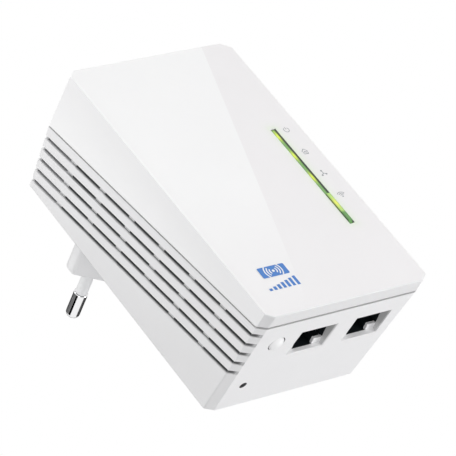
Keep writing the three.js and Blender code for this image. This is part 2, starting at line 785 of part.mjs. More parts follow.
function chip(place, widthShare, lengthShare, base, height, away, span) {
  const [x, z] = place;
  const halfX = widthShare * span[0];
  const halfZ = (lengthShare * span[1]) / 2;
  const bevel = Math.min(halfX, halfZ, height) * chipBevelShare;
  const ring = (y, inset) => [
    new THREE.Vector3(x - halfX + inset, y, z - halfZ + inset),
    new THREE.Vector3(x + halfX - inset, y, z - halfZ + inset),
    new THREE.Vector3(x + halfX - inset, y, z + halfZ - inset),
    new THREE.Vector3(x - halfX + inset, y, z + halfZ - inset),
  ];
  return loft([
    ring(base, 0), ring(base + away * (height - bevel), 0), ring(base + away * height, bevel),
  ]);
}

const logicSpan = [boardHalf, boardTop - boardBottom];
const powerSpan = [powerHalf, boardTop - powerBoardBottom];
const logicChip = (across, up, width, length, heightShare) =>
  chip(onLogic(across, up), width, length, boardRear + seat, logicRoom * heightShare, 1, logicSpan);
const powerChip = (across, up, width, length, heightShare) =>
  chip(onPower(across, up), width, length, powerFront - seat, powerRoom * heightShare, -1, powerSpan);

// Standing can capacitor with a rolled rim at its base
const canRimShare = 0.167;

function makeCan(across, up, radiusShare, heightShare) {
  const [x, z] = onPower(across, up);
  const radius = radiusShare * powerHalf;
  const height = powerRoom * heightShare;
  const rim = radius * canRimShare;
  const can = turnedAlongY([
    [0, 0], [radius - rim, 0], [radius, -rim], [radius - rim, -2 * rim], [radius, -3 * rim],
    [radius, -height + rim], [radius - rim, -height], [0, -height],
  ].reverse());
  can.translate(x, powerFront - seat, z);
  return can;
}

// Heat sink with upright fins on a base plate over the processor
const finCount = 6;
const finGapShare = 0.5;
const sinkShares = [0.36, 0.2];

function makeHeatSink(across, up, chipHeightShare) {
  const [x, z] = onLogic(across, up);
  const half = sinkShares[0] * boardHalf;
  const base = boardRear + seat + logicRoom * chipHeightShare + seat;
  const baseTop = base + sinkShares[1] * logicRoom;
  const parts = [block([x - half, base, z - half], [x + half, baseTop, z + half])];
  const pitch = (2 * half) / (finCount - finGapShare);
  for (let i = 0; i < finCount; i++) {
    const from = x - half + i * pitch;
    parts.push(block([from, base, z - half], [from + pitch * finGapShare, sheetFront - seat, z + half]));
  }
  return join(parts);
}

// Transformer: a core with two windows, and a winding that fills them
const corePlaceShares = [0.42, 0.3];
const coreSizeShares = [0.5, 0.32, 0.9];
const legShare = 0.25;
const yokeShare = 0.167;

function transformerSizes() {
  const [x, z] = onPower(...corePlaceShares);
  const [acrossShare, upShare, outShare] = coreSizeShares;
  const half = acrossShare * powerHalf;
  const halfZ = (upShare * powerSpan[1]) / 2;
  const top = powerFront - seat - outShare * powerRoom;
  return { x, z, half, halfZ, top, leg: half * legShare, yoke: (powerFront - top) * yokeShare };
}

function makeTransformerCore() {
  const { x, z, half, halfZ, top, leg, yoke } = transformerSizes();
  const core = block([x - half, top, z - halfZ / 2], [x + half, powerFront - seat, z + halfZ / 2]);
  const windowAt = (from, to) =>
    block([from, top + yoke, z - halfZ], [to, powerFront - seat - yoke, z + halfZ]);
  return cut(solidOf(core), [
    windowAt(x - half + leg, x - leg), windowAt(x + leg, x + half - leg),
  ]);
}

function makeTransformerWinding() {
  const { x, z, half, halfZ, top, leg, yoke } = transformerSizes();
  const from = top + yoke + seat;
  const to = powerFront - 2 * seat - yoke;
  const outer = block([x - half + leg + seat, from, z - halfZ], [x + half - leg - seat, to, z + halfZ]);
  const inner = block(
    [x - leg - seat, from - overrun, z - halfZ / 2 - seat],
    [x + leg + seat, to + overrun, z + halfZ / 2 + seat],
  );
  return cut(solidOf(outer), [inner]);
}

// Stamped antenna with a feed leg and a ground leg on the board's top edge
const antennaShares = [0.14, 0.6];
const stripShare = 0.25;

function makeAntenna(side) {
  const [from, to] = antennaShares.map((share) => share * boardHalf);
  const foot = boardTop + seat;
  const head = bodyHeight - wall - lipThickness - cornerUp;
  const strip = (head - foot) * stripShare;
  const outline = [
    [from, foot], [from + strip, foot], [from + strip, head - strip], [to - 2 * strip, head - strip],
    [to - 2 * strip, foot], [to - strip, foot], [to - strip, head - strip], [to, head - strip],
    [to, head], [from, head],
  ].map(([x, z]) => [side * x, z]);
  const depth = boardFront + boardThickness / 2;
  return prismAlongY(outline, depth - antennaSteel / 2, depth + antennaSteel / 2);
}

// Casing and plug
addPiece('front_cover', makeFrontCover(), materials.casing);
addPiece('rear_housing', makeRearHousing(), materials.casing);
addPiece('plug_block', makePlugBlock(), materials.casing);
for (const [i, name] of ['left', 'right'].entries()) {
  const root = [pinXs[i], plugFaceDepth, plugZ];
  addPiece(`plug_pin_${name}`, makePin(), materials.pin, root);
  addPiece(`pin_sleeve_${name}`, makeSleeve(), materials.sleeve, root);
  addPiece(`case_screw_${name}`, makeCaseScrew(), materials.steel, [screwXs[i], screwHeadSeat, screwZ]);
  addPiece(`antenna_${name}`, makeAntenna(i === 0 ? -1 : 1), materials.alloy);
}

// Lights, light guide and key
addPiece('light_guide', makeLightGuide(), materials.guide);
const lightNames = ['led_power', 'led_powerline', 'led_ethernet', 'led_wifi'];
for (const [i, z] of [...lightHeights, radioLightHeight].entries()) {
  const led = block([-ledWidth / 2, 0, -ledLength / 2], [ledWidth / 2, ledThickness, ledLength / 2]);
  addPiece(lightNames[i], led, materials.light, [slitX, ledFace, z]);
}
addPiece('wifi_button', makeWifiButton(), materials.key);
const keyPlace = [slitX, keySwitchFace, keySwitchZ];
const keyWell = keyTravel + seat + plungerClearance;
addPiece('wifi_switch_body', makeSwitchBody(
  keySwitchWidth, keySwitchHeight, keySwitchLength, keyPlungerRadius, keyWell + seat), materials.dark, keyPlace);
addPiece('wifi_switch_plunger', makePlunger(keyPlungerRadius, keyPlungerProud, seat), materials.steel, keyPlace);

// Boards and what joins them
const leftWallAtButtons = -(innerHalfAtPorts - seat);
addPiece('logic_board', block(
  [-boardHalf, boardFront, boardBottom], [boardHalf, boardRear, boardTop]), materials.board);
addPiece('power_board', makePowerBoard(), materials.board);
addPiece('insulation_sheet', block(
  [-powerHalf, sheetFront, powerBoardBottom + 2 * headerHeight], [powerHalf, sheetRear, boardTop]), materials.dark);
addPiece('board_header', block(
  [-headerWidth / 2, boardRear + seat, powerBoardBottom + headerHeight / 2],
  [headerWidth / 2, powerFront - seat, powerBoardBottom + headerHeight + headerHeight / 2]), materials.dark);
const buttonBoardRear = pinholeSetback + switchHalf + seat;
addPiece('button_board', block(
  [leftWallAtButtons + boardEdgeGap, boardRear + seat, buttonBoardHeight],
  [jackLeftEdge - 3 * seat, buttonBoardRear, buttonBoardHeight + boardThickness]), materials.board);
addPiece('button_header', block(
  [leftWallAtButtons + 2 * boardEdgeGap, boardRear + seat, buttonBoardHeight + boardThickness + seat],
  [jackLeftEdge - boardEdgeGap, boardRear + headerHeight, buttonBoardHeight + boardThickness + headerHeight]),
materials.dark);

// Power board with a hole for each pin's root
function makePowerBoard() {
  const plate = block([-powerHalf, powerFront, powerBoardBottom], [powerHalf, powerRear, boardTop]);
  const holes = pinXs.map((x) => barAlongY(sleeveBore, x, plugZ, powerFront - overrun, powerRear + overrun));
  return cut(solidOf(plate), holes);
}

// Switches and buttons in the lower wall
function addLowerSwitch(name, x, y, travel) {
  const body = makeSwitchBody(switchWidth, switchHeight, switchWidth, switchPlungerRadius,
    travel + 2 * seat + plungerClearance);
  const plunger = makePlunger(switchPlungerRadius, switchPlungerProud, seat);
  const upright = geometryOf(body);
  plunger.rotateX(Math.PI / 2);
  upright.rotateX(Math.PI / 2);
  addPiece(`${name}_switch_body`, upright, materials.dark, [x, y, switchFace]);
  addPiece(`${name}_switch_plunger`, plunger, materials.steel, [x, y, switchFace]);
}
addPiece('pair_button', makePairButton(), materials.casing, [pairX, pairSetback, 0]);
addLowerSwitch('pair', pairX, pairSetback, pairTravel);
addLowerSwitch('reset', pinholeX, pinholeSetback, resetTravel);

// Network sockets
for (const [i, name] of ['right', 'left'].entries()) {
  addPiece(`ethernet_jack_${name}`, makeJack(), materials.jack, [portCentres[i], 0, 0]);
  addPiece(`jack_contacts_${name}`, makeJackContacts(), materials.gold, [portCentres[i], 0, 0]);
}

// Parts on the logic board
addPiece('processor', logicChip(0.05, 0.62, 0.3, 0.17, 0.3), materials.dark);
addPiece('heat_sink', makeHeatSink(0.05, 0.62, 0.3), materials.alloy);
addPiece('memory_chip', logicChip(-0.55, 0.62, 0.15, 0.17, 0.3), materials.dark);
addPiece('radio_shield', logicChip(0, 0.89, 0.42, 0.14, 0.55), materials.steel);
addPiece('lan_transformer', logicChip(0.67, 0.36, 0.3, 0.13, 0.85), materials.dark);
addPiece('coupling_transformer', logicChip(-0.65, 0.37, 0.18, 0.1, 0.9), materials.ferrite);

// Parts on the power board
addPiece('transformer_core', makeTransformerCore(), materials.ferrite);
addPiece('transformer_winding', makeTransformerWinding(), materials.winding);
addPiece('bulk_capacitor', makeCan(-0.6, 0.34, 0.3, 0.95), materials.dark);
addPiece('output_capacitor', makeCan(-0.72, 0.64, 0.2, 0.7), materials.dark);
addPiece('x_capacitor', powerChip(0, 0.86, 0.26, 0.2, 0.75), materials.film);
addPiece('rectifier', powerChip(-0.3, 0.64, 0.14, 0.1, 0.4), materials.dark);
addPiece('line_fuse', powerChip(0.82, 0.66, 0.1, 0.22, 0.35), materials.ceramic);
addPiece('line_choke', makeCan(0.36, 0.64, 0.24, 0.55), materials.ferrite);

casing.position.set(0, -plugFaceDepth, -plugZ);
const adapter = new THREE.Group();
adapter.add(casing);

export default adapter;
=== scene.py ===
# Looks of a plug in powerline adapter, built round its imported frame. Units are metres.
# The front faces -Y, the plug points along +Y and the network sockets open downwards.
import math
import bmesh
import bpy
from mathutils import Matrix, Vector


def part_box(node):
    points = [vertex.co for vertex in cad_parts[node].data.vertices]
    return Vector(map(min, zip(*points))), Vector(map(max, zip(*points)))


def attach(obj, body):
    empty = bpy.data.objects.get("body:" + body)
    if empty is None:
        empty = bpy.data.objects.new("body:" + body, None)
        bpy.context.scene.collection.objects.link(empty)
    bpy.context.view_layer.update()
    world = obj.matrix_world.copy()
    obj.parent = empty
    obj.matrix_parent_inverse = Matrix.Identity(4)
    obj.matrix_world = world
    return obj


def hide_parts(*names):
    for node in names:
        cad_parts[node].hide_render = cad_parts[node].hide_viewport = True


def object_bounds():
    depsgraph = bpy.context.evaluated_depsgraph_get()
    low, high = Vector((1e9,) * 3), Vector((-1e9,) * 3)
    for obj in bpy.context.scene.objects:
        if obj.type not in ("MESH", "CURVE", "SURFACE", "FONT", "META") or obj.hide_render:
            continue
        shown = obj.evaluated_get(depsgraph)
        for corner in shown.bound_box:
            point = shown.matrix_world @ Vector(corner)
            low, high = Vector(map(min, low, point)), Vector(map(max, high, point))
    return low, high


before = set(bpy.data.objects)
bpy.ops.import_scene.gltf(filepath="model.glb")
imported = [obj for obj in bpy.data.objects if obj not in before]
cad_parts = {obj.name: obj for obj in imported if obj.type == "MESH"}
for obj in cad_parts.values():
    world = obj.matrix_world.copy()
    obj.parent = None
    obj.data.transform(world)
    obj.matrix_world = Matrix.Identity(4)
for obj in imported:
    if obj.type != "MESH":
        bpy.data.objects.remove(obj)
cad_low, cad_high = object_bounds()


def add_object(name, data):
    """A new object in the scene."""
    made = bpy.data.objects.new(name, data)
    bpy.context.scene.collection.objects.link(made)
    return made


# Camera
# A long lens looks up at the adapter from its lower left, as the photograph does, with the front,
# the vented side and the wall with the sockets all in view. It was placed by fitting the casing's edges.
camera_data = bpy.data.cameras.new("photo_camera")
camera_data.lens = 240.12
camera_data.sensor_width = 36.0
camera = add_object("photo_camera", camera_data)
camera_right = Vector((0.7688, -0.3271, -0.5494)).normalized()
camera_forward = Vector((0.6157, 0.6108, 0.4979)).normalized()
camera_up = camera_right.cross(camera_forward).normalized()
camera_right = camera_forward.cross(camera_up).normalized()
camera.matrix_world = Matrix((
    (camera_right.x, camera_up.x, -camera_forward.x, -0.4875),
    (camera_right.y, camera_up.y, -camera_forward.y, -0.5235),
    (camera_right.z, camera_up.z, -camera_forward.z, -0.4242),
    (0.0, 0.0, 0.0, 1.0),
))
bpy.context.scene.camera = camera
bpy.context.scene.view_settings.view_transform = "Standard"

# Surroundings
# The adapter hangs in its wall socket well above a plain pale floor. The floor is seen from above
# only, the background is white, and six soft lamps and an even sky light the object.
FLOOR_DROP = 0.65
FLOOR_HALF = 14
FLOOR_COLOR = (0.86, 0.86, 0.87, 1)
FLOOR_LIFT = 0.3
SKY_STRENGTH = 0.48
BLACK, WHITE = (0, 0, 0, 1), (1, 1, 1, 1)


def feed(node, values):
    """Feeds a node's inputs, by name or number, with values, sockets, fields or nodes' first outputs."""
    for label, value in values.items():
        value = value.outputs[0] if isinstance(value, bpy.types.Node) else getattr(value, "socket", value)
        if isinstance(value, bpy.types.NodeSocket):
            node.id_data.links.new(value, node.inputs[label])
        else:
            node.inputs[label].default_value = value


def add_node(tree, kind, values=None, **settings):
    """A new node with its settings made and its inputs fed."""
    node = tree.nodes.new(kind)
    for name, value in settings.items():
        setattr(node, name, value)
    feed(node, values or {})
    return node


class Field:
    """A socket's value over a surface. Arithmetic on it adds Math nodes to its tree."""

    def __init__(self, socket):
        self.socket = socket

    def math(self, operation, *values):
        """One Math node over this field and other fields, sockets or numbers."""
        values = dict(enumerate((self, *values)))
        return Field(add_node(self.socket.id_data, "ShaderNodeMath", values, operation=operation).outputs[0])

    def share(self):
        """This field, kept between 0 and 1."""
        return self.math("MAXIMUM", 0.0).math("MINIMUM", 1.0)

    def __add__(self, other):
        return self.math("ADD", other)

    def __sub__(self, other):
        return self.math("SUBTRACT", other)

    def __rsub__(self, other):
        return self.math("MULTIPLY_ADD", -1.0, other)

    def __mul__(self, other):
        return self.math("MULTIPLY", other)

    def __truediv__(self, other):
        return self.math("DIVIDE", other)


def feed_shader(made, values):
    """Feeds the inputs of a material's surface shader."""
    feed(made.node_tree.nodes["Principled BSDF"], values)


def plain_material(name, values):
    """A new material with the given values in its surface shader."""
    made = bpy.data.materials.new(name)
    made.use_nodes = True
    feed_shader(made, values)
    return made


floor_mesh = bpy.data.meshes.new("floor")
floor_corners = [(x * FLOOR_HALF, y * FLOOR_HALF, 0) for x, y in ((-1, -1), (1, -1), (1, 1), (-1, 1))]
floor_mesh.from_pydata(floor_corners, [], [(0, 1, 2, 3)])
floor = add_object("floor", floor_mesh)
floor.location = (0, 0, cad_low.z - FLOOR_DROP)
floor_material = plain_material("pale_floor", {
    "Base Color": FLOOR_COLOR, "Roughness": 0.8, "Emission Color": WHITE})
tree = floor_material.node_tree
rays = add_node(tree, "ShaderNodeLightPath").outputs
feed_shader(floor_material, {"Emission Strength": Field(rays["Is Camera Ray"]) * FLOOR_LIFT})
from_below = add_node(tree, "ShaderNodeNewGeometry").outputs["Backfacing"]
floor_mix = add_node(tree, "ShaderNodeMixShader", {
    0: from_below, 1: tree.nodes["Principled BSDF"], 2: add_node(tree, "ShaderNodeBsdfTransparent")})
mirror_mix = add_node(tree, "ShaderNodeMixShader", {
    0: rays["Is Glossy Ray"], 1: floor_mix, 2: add_node(tree, "ShaderNodeEmission")})
feed(tree.nodes["Material Output"], {"Surface": mirror_mix})
floor_mesh.materials.append(floor_material)

world = bpy.data.worlds.new("studio")
world.use_nodes = True
bpy.context.scene.world = world
tree = world.node_tree
rays = add_node(tree, "ShaderNodeLightPath").outputs
sky = tree.nodes["Background"]
feed(sky, {"Color": WHITE, "Strength": SKY_STRENGTH})
backdrop = add_node(tree, "ShaderNodeBackground", {"Color": WHITE, "Strength": 1.0})
seen = Field(rays["Is Camera Ray"]).math("MAXIMUM", rays["Is Glossy Ray"])
seen = seen.math("MAXIMUM", rays["Is Transmission Ray"])
feed(tree.nodes["World Output"], {
    "Surface": add_node(tree, "ShaderNodeMixShader", {0: seen, 1: sky, 2: backdrop})})

for name, place, size, power in (
        ("front_lamp", (-0.5, -1.05, 0.5), 0.7, 3.75), ("side_lamp", (-0.27, -0.07, 0.24), 0.2, 0.40),
        ("low_front_lamp", (0.62, -0.5, -0.6), 0.17, 3.05), ("low_rear_lamp", (0.6, 0.28, -0.6), 0.17, 0.6),
        ("left_fill_lamp", (-0.62, -0.6, -0.5), 0.4, 1.45), ("back_fill_lamp", (0.6, 0.7, 0.55), 0.4, 2.6)):
    lamp_data = bpy.data.lights.new(name, "AREA")
    lamp_data.shape = "SQUARE"
    lamp_data.size = size
    lamp_data.energy = power
    lamp = add_object(name, lamp_data)
    lamp.location = (cad_low + cad_high) / 2 + Vector(place)
    lamp.rotation_mode = "QUATERNION"
    lamp.rotation_quaternion = (-Vector(place)).to_track_quat("-Z", "Y")
    lamp.visible_camera = False

# Casing
# Cover and housing are injection moulded in a satin white plastic, with a fine spark texture on
# every outer face and a small break on most edges. They meet at the leaning seam, and the plug
# block is moulded in a like white, painted a little whiter as painted light. Painted shade darkens
# the inner faces, the vents' walls and bridges, the slit, the seam and the sockets' recess walls
# and the cover's foot; painted light brightens the front left of the fold and the cover's sides,
# and a painted green glow lies round the slit.
MM = 0.001
WELD = 1e-7
HARD_EDGE = math.radians(24)
BROAD_FACE = 60 * MM * MM
CASING_WHITE = (0.875, 0.873, 0.878, 1)
CASING_ROUGHNESS, CASING_GRAIN = 0.34, 0.03
CASING_EDGE = 0.36 * MM
PLUG_EDGE = 0.9 * MM
# Painted light: the front left of the fold is painted brighter.
PAINTED_FACET_LIGHT_WHITE = (0.935, 0.935, 0.935, 1)
FRONT_WHITE = (0.885, 0.872, 0.878, 1)
# Painted light on the cover's sides, brighter towards the seam.
PAINTED_SIDE_LIGHT_WHITE = (0.955, 0.955, 0.955, 1)
# Painted shade on the cover's foot and the faces that look down.
PAINTED_FOOT_SHADE_WHITE = (0.80, 0.80, 0.805, 1)
# Painted light: the plug block is painted whiter than the casing.
PAINTED_LIGHT_PLUG_WHITE = (0.94, 0.94, 0.945, 1)
# Painted shade: the dark grey that stands for shade behind the vents, in the slit and on the inner faces.
PAINTED_SHADE_GREY = (0.14, 0.142, 0.147, 1)
# Painted light: a lighter painted shade in the top windows of the vents.
PAINTED_TOP_SHADE_GREY = (0.4, 0.403, 0.41, 1)
# Painted shade on the vents' bridges.
PAINTED_BRIDGE_SHADE_GREY = (0.64, 0.64, 0.645, 1)
# Painted shade in the seam's gap and on the sockets' recess walls.
PAINTED_SEAM_SHADE_GREY = (0.62, 0.62, 0.62, 1)
# Painted light: a green glow of the lights painted on the front round the slit.
PAINTED_GLOW_GREEN = (0.62, 0.84, 0.46, 1)
PAINTED_GLOW_REACH = 0.9 * MM
PAINTED_GLOW_SHARE = 0.4
SKIN = 0.85 * MM
BELOW_SKIN = 0.05 * MM
LIP_DEPTH = 3 * MM
VENT_SHADE_FROM, VENT_SHADE_RUN = 0.2 * MM, 0.5 * MM
VENT_TOP_FROM, VENT_TOP_RUN = 79 * MM, 3 * MM
VENTS_END = 20.2 * MM
VENTS_INNER = 3.5 * MM
RECESS_WALL = 8 * MM * MM
SEAM_FOOT = 4.8 * MM
SEAM_LEAN = 13.5 / 94
SEAM_HALF = 27.325 * MM
REAR_HALF = 25.82 * MM
BODY_HEIGHT = 94 * MM
BODY_DEPTH = 40 * MM
FRONT_Y = -57.7 * MM
FOOT_Z = -75.3 * MM
BOTTOM_SLOPE = 6.09 / 40
CORNER_RUN, CORNER_CLIMB = 2.5 * MM, 1.4 * MM
FOLD_TOP_X, FOLD_FOOT_X = 18 * MM, -13.5 * MM
FOLD_BLUR = 0.15 * MM
FOOT_FADE = 2.2
SLIT_X = 18.45 * MM
SLIT_WIDTH = 1.5 * MM
SLIT_TRIM = 0.4 * MM
SLIT_FOOT, SLIT_TOP = 23.5 * MM + FOOT_Z, 60.3 * MM + FOOT_Z
SLIT_DEPTH = 2.7 * MM
CLOSE = 0.1 * MM


def blend_colors(share, low, high):
    """Mixes two colours, each a socket or a value, by a share that changes over the surface."""
    values = {0: share, 6: low, 7: high}
    return add_node(share.socket.id_data, "ShaderNodeMix", values, data_type="RGBA").outputs[2]


def object_place(tree):
    """The socket of the Object coordinates."""
    return add_node(tree, "ShaderNodeTexCoord").outputs["Object"]


def place_axes(tree):
    """The three Object coordinates as fields."""
    return [Field(axis) for axis in add_node(tree, "ShaderNodeSeparateXYZ", {0: object_place(tree)}).outputs]


def new_group(name, given, results, kind="ShaderNodeTree"):
    """An empty node group with named inputs and outputs, its inputs' sockets and its output node."""
    group = bpy.data.node_groups.new(name, kind)
    for label, sort, value in given:
        socket = group.interface.new_socket(name=label, in_out="INPUT", socket_type="NodeSocket" + sort)
        if value is not None:
            socket.default_value = value
    for label, sort in results:
        group.interface.new_socket(name=label, in_out="OUTPUT", socket_type="NodeSocket" + sort)
    return group, group.nodes.new("NodeGroupInput").outputs, group.nodes.new("NodeGroupOutput")


def noise(tree, scale, detail, stretch=(1, 1, 1)):
    """Noise on the Object coordinates, finer where an axis is stretched."""
    mapping = add_node(tree, "ShaderNodeMapping", {"Vector": object_place(tree), "Scale": stretch})
    texture = add_node(tree, "ShaderNodeTexNoise", {"Vector": mapping, "Scale": scale, "Detail": detail})
    return Field(texture.outputs["Fac"])


def moulded_surface_group():
    """Node group: a moulding's faint mottle, its change of gloss and its fine surface grain."""
    group, given, result = new_group("moulded surface", (
        ("Color", "Color", (0.8, 0.8, 0.8, 1)), ("Roughness", "Float", 0.4), ("Grain Scale", "Float", 2500.0),
        ("Mottle", "Float", 0.03), ("Gloss Change", "Float", 0.08),
    ), (("Color", "Color"), ("Roughness", "Float"), ("Height", "Float")))
    cloud = noise(group, 60.0, 3.0) - 0.5
    feed(result, {
        "Color": add_node(group, "ShaderNodeVectorMath", {
            0: given["Color"], "Scale": cloud * given["Mottle"] + 1.0}, operation="SCALE"),
        "Roughness": cloud * given["Gloss Change"] + given["Roughness"],
        "Height": noise(group, given["Grain Scale"], 2.0)})
    return group


moulded_surface = moulded_surface_group()


def moulded_material(name, color, roughness, grain=0.02, metallic=0.0, mottle=0.03, scale=2500.0):
    """A material whose colour, gloss and grain come from the shared moulded surface."""
    made = plain_material(name, {"Metallic": metallic})
    tree = made.node_tree
    surface = add_node(tree, "ShaderNodeGroup", {
        "Color": color, "Roughness": roughness, "Grain Scale": scale, "Mottle": mottle,
    }, node_tree=moulded_surface, name="surface")
    bump = add_node(tree, "ShaderNodeBump", {
        "Strength": grain, "Distance": 0.1 * MM, "Height": surface.outputs["Height"]}, name="bump")
    feed_shader(made, {
        "Base Color": surface.outputs["Color"], "Roughness": surface.outputs["Roughness"], "Normal": bump})
    return made


def color_surface(made, color):
    """Feeds a colour that changes over the surface to a material's moulded surface."""
    feed(made.node_tree.nodes["surface"], {"Color": color})


def casing_material(name, color=CASING_WHITE):
    """A white of the casing."""
    return moulded_material(name, color, CASING_ROUGHNESS, CASING_GRAIN)


def front_material():
    """White of the front with painted light: brighter left of the fold, fading to the foot, and a painted
    green glow round the slit.
    """
    made = casing_material("satin_white_front_painted_light", FRONT_WHITE)
    x, _, z = place_axes(made.node_tree)
    rise = (z - FOOT_Z) / BODY_HEIGHT
    crease = rise * (FOLD_TOP_X - FOLD_FOOT_X) + FOLD_FOOT_X
    # Painted light: brighter left of the fold, fading towards the foot.
    facet = ((crease - x) / FOLD_BLUR).share() * (rise * FOOT_FADE).math("MINIMUM", 1.0)
    # Painted light: a green glow of the lights round the slit.
    across = ((x - SLIT_X).math("ABSOLUTE") - SLIT_WIDTH / 2).math("MAXIMUM", 0.0)
    along = (z - (SLIT_TOP + SLIT_FOOT) / 2).math("ABSOLUTE")
    beyond = (along - (SLIT_TOP - SLIT_FOOT) / 2).math("MAXIMUM", 0.0)
    glow = ((across * across + beyond * beyond).math("SQRT") / -PAINTED_GLOW_REACH).math("EXPONENT")
    white = blend_colors(facet, FRONT_WHITE, PAINTED_FACET_LIGHT_WHITE)
    color_surface(made, blend_colors(glow * PAINTED_GLOW_SHARE, white, PAINTED_GLOW_GREEN))
    return made


def has_room(edge, chosen, width):
    """Whether a break on an edge has room at both ends, and goes on where the edge does."""
    for corner in edge.verts:
        along = (edge.other_vert(corner).co - corner.co).normalized()
        for other in corner.link_edges:
            run = other.other_vert(corner).co - corner.co
            lean = run.normalized().dot(along)
            if other in chosen:
                cramped = run.length < 1.3 * width and lean > -0.9
            else:
                goes_on = lean < -0.95 and other.calc_face_angle_signed(0) > HARD_EDGE
                cramped = run.length < 2.5 * width or goes_on
            if other != edge and (cramped or lean > 0.9):
                return False
    return True


def shading_normal(face, corner, rounds):
    """The normal that keeps flat faces flat and runs smoothly over a break and a curved wall."""
    flats = [other for other in corner.link_faces if other not in rounds]
    if face not in rounds:
        if face.calc_area() > BROAD_FACE:
            return face.normal
        alike = [
            other.normal for other in flats
            if other.calc_area() < BROAD_FACE and other.normal.dot(face.normal) > math.cos(HARD_EDGE)]
        return sum(alike, Vector()).normalized()
    near = [other.normal for other in flats if other.normal.dot(face.normal) > 0.5]
    if near:
        return max(near, key=face.normal.dot)
    return sum((other.normal for other in corner.link_faces if other in rounds), Vector()).normalized()


def draw_in_slit(mesh):
    """Draws in the right wall of the light slit, or of what fills it, to the slit's slimmer width."""
    for corner in mesh.vertices:
        beside = 2 * CLOSE < corner.co.x - SLIT_X - SLIT_WIDTH / 2 < SLIT_TRIM + CLOSE
        level = SLIT_FOOT - CLOSE < corner.co.z < SLIT_TOP + CLOSE
        if beside and level and corner.co.y < FRONT_Y + SLIT_DEPTH:
            corner.co.x -= SLIT_TRIM


def softened_mesh(node, name, width, on_skin=None, segments=2):
    """A copy of a frame node's mesh with its flat faces joined and its outer edges rounded."""
    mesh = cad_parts[node].data.copy()
    mesh.name = name
    if node in ("front_cover", "light_guide", "wifi_button"):
        draw_in_slit(mesh)
    form = bmesh.new()
    form.from_mesh(mesh)
    bmesh.ops.remove_doubles(form, verts=form.verts, dist=WELD)
    bmesh.ops.dissolve_limit(form, angle_limit=math.radians(0.05), verts=form.verts, edges=form.edges)
    chosen, before = {
        edge for edge in form.edges if edge.calc_face_angle_signed(0) > HARD_EDGE
        and (not on_skin or on_skin((edge.verts[0].co + edge.verts[1].co) / 2))}, 0
    while len(chosen) != before:
        before = len(chosen)
        chosen = {edge for edge in chosen if has_room(edge, chosen, width)}
    rounds = set(bmesh.ops.bevel(
        form, geom=list(chosen), offset=width, offset_type="OFFSET", segments=segments, profile=0.5,
        affect="EDGES", clamp_overlap=False, miter_outer="ARC")["faces"]) if chosen else set()
    form.normal_update()
    normals = [shading_normal(face, corner.vert, rounds) for face in form.faces for corner in face.loops]
    form.to_mesh(mesh)
    form.free()
    mesh.shade_smooth()
    mesh.normals_split_custom_set(normals)
    mesh.materials.clear()
    return mesh


def finish_piece(piece, body, slot, materials, *replaced):
    """Gives a piece its materials and its body, and hides the nodes that it stands for. The slot is not used.
    """
    if materials:
        piece.data.materials.clear()
        for material in materials:
            piece.data.materials.append(material)
    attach(piece, body)
    if replaced:
        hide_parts(*replaced)


def soft_piece(node, name, edge, slot, material, body="casing"):
    """A finished piece that stands for a frame node, with a small break on its outer edges in mm."""
    finish_piece(add_object(name, softened_mesh(node, name, edge * MM)), body, slot, (material,), node)


def depth_past_seam(place):
    """How far a point of the casing lies behind the leaning seam."""
    return place.y - FRONT_Y - SEAM_FOOT - SEAM_LEAN * (place.z - FOOT_Z)


def depth_below_skin(place):
    """How deep a point of the casing lies below its nearest outer wall, front left out."""
    y, z = place.y - FRONT_Y, place.z - FOOT_Z
    seam = SEAM_FOOT + SEAM_LEAN * z
    share = max((y - seam) / (BODY_DEPTH - seam), 0)
    side = SEAM_HALF + (REAR_HALF - SEAM_HALF) * share - abs(place.x)
    foot = z - BOTTOM_SLOPE * y
    head = BODY_HEIGHT - z
    corner = min(foot, head) * CORNER_RUN + side * CORNER_CLIMB - CORNER_RUN * CORNER_CLIMB
    corner /= math.hypot(CORNER_RUN, CORNER_CLIMB)
    return min(side, foot, head, corner, BODY_DEPTH - y)


def vent_material():
    """White of the vents' walls with painted shade, darker with the depth below the side walls and lighter in
    the top windows.
    """
    made = casing_material("vent_white_painted_shade_plastic")
    x, y, z = place_axes(made.node_tree)
    back, up = y - FRONT_Y, z - FOOT_Z
    seam = up * SEAM_LEAN + SEAM_FOOT
    side = (back - seam) / (BODY_DEPTH - seam) * (REAR_HALF - SEAM_HALF) + SEAM_HALF - x.math("ABSOLUTE")
    end = (up - back * BOTTOM_SLOPE).math("MINIMUM", BODY_HEIGHT - up)
    corner = end * CORNER_RUN + side * CORNER_CLIMB - CORNER_RUN * CORNER_CLIMB
    depth = side.math("MINIMUM", corner / math.hypot(CORNER_RUN, CORNER_CLIMB))
    # Painted shade: darker with the depth below the side walls.
    shade = ((depth - VENT_SHADE_FROM) / VENT_SHADE_RUN).share()
    # Painted light: the painted shade is lighter in the top windows.
    rise = ((up - VENT_TOP_FROM) / VENT_TOP_RUN).share()
    color_surface(made, blend_colors(shade, CASING_WHITE, blend_colors(rise, PAINTED_SHADE_GREY, PAINTED_TOP_SHADE_GREY)))
    return made


def cover_side_material():
    """White of the cover's side walls with painted light, a little brighter towards the seam and less so
    towards the foot.
    """
    made = casing_material("satin_white_cover_side_painted_light")
    _, y, z = place_axes(made.node_tree)
    up = z - FOOT_Z
    share = (y - FRONT_Y) / (up * SEAM_LEAN + SEAM_FOOT)
    share = share * (up / (BODY_HEIGHT / 2)).math("MINIMUM", 1.0)
    # Painted light towards the seam.
    color_surface(made, blend_colors(share, CASING_WHITE, PAINTED_SIDE_LIGHT_WHITE))
    return made


casing_plastic = casing_material("satin_white_plastic")
# Painted light on the front: the brighter facet and the green glow round the slit.
front_painted_light_plastic = front_material()
# Painted shade in the vents, lighter at the top.
vent_painted_shade_plastic = vent_material()
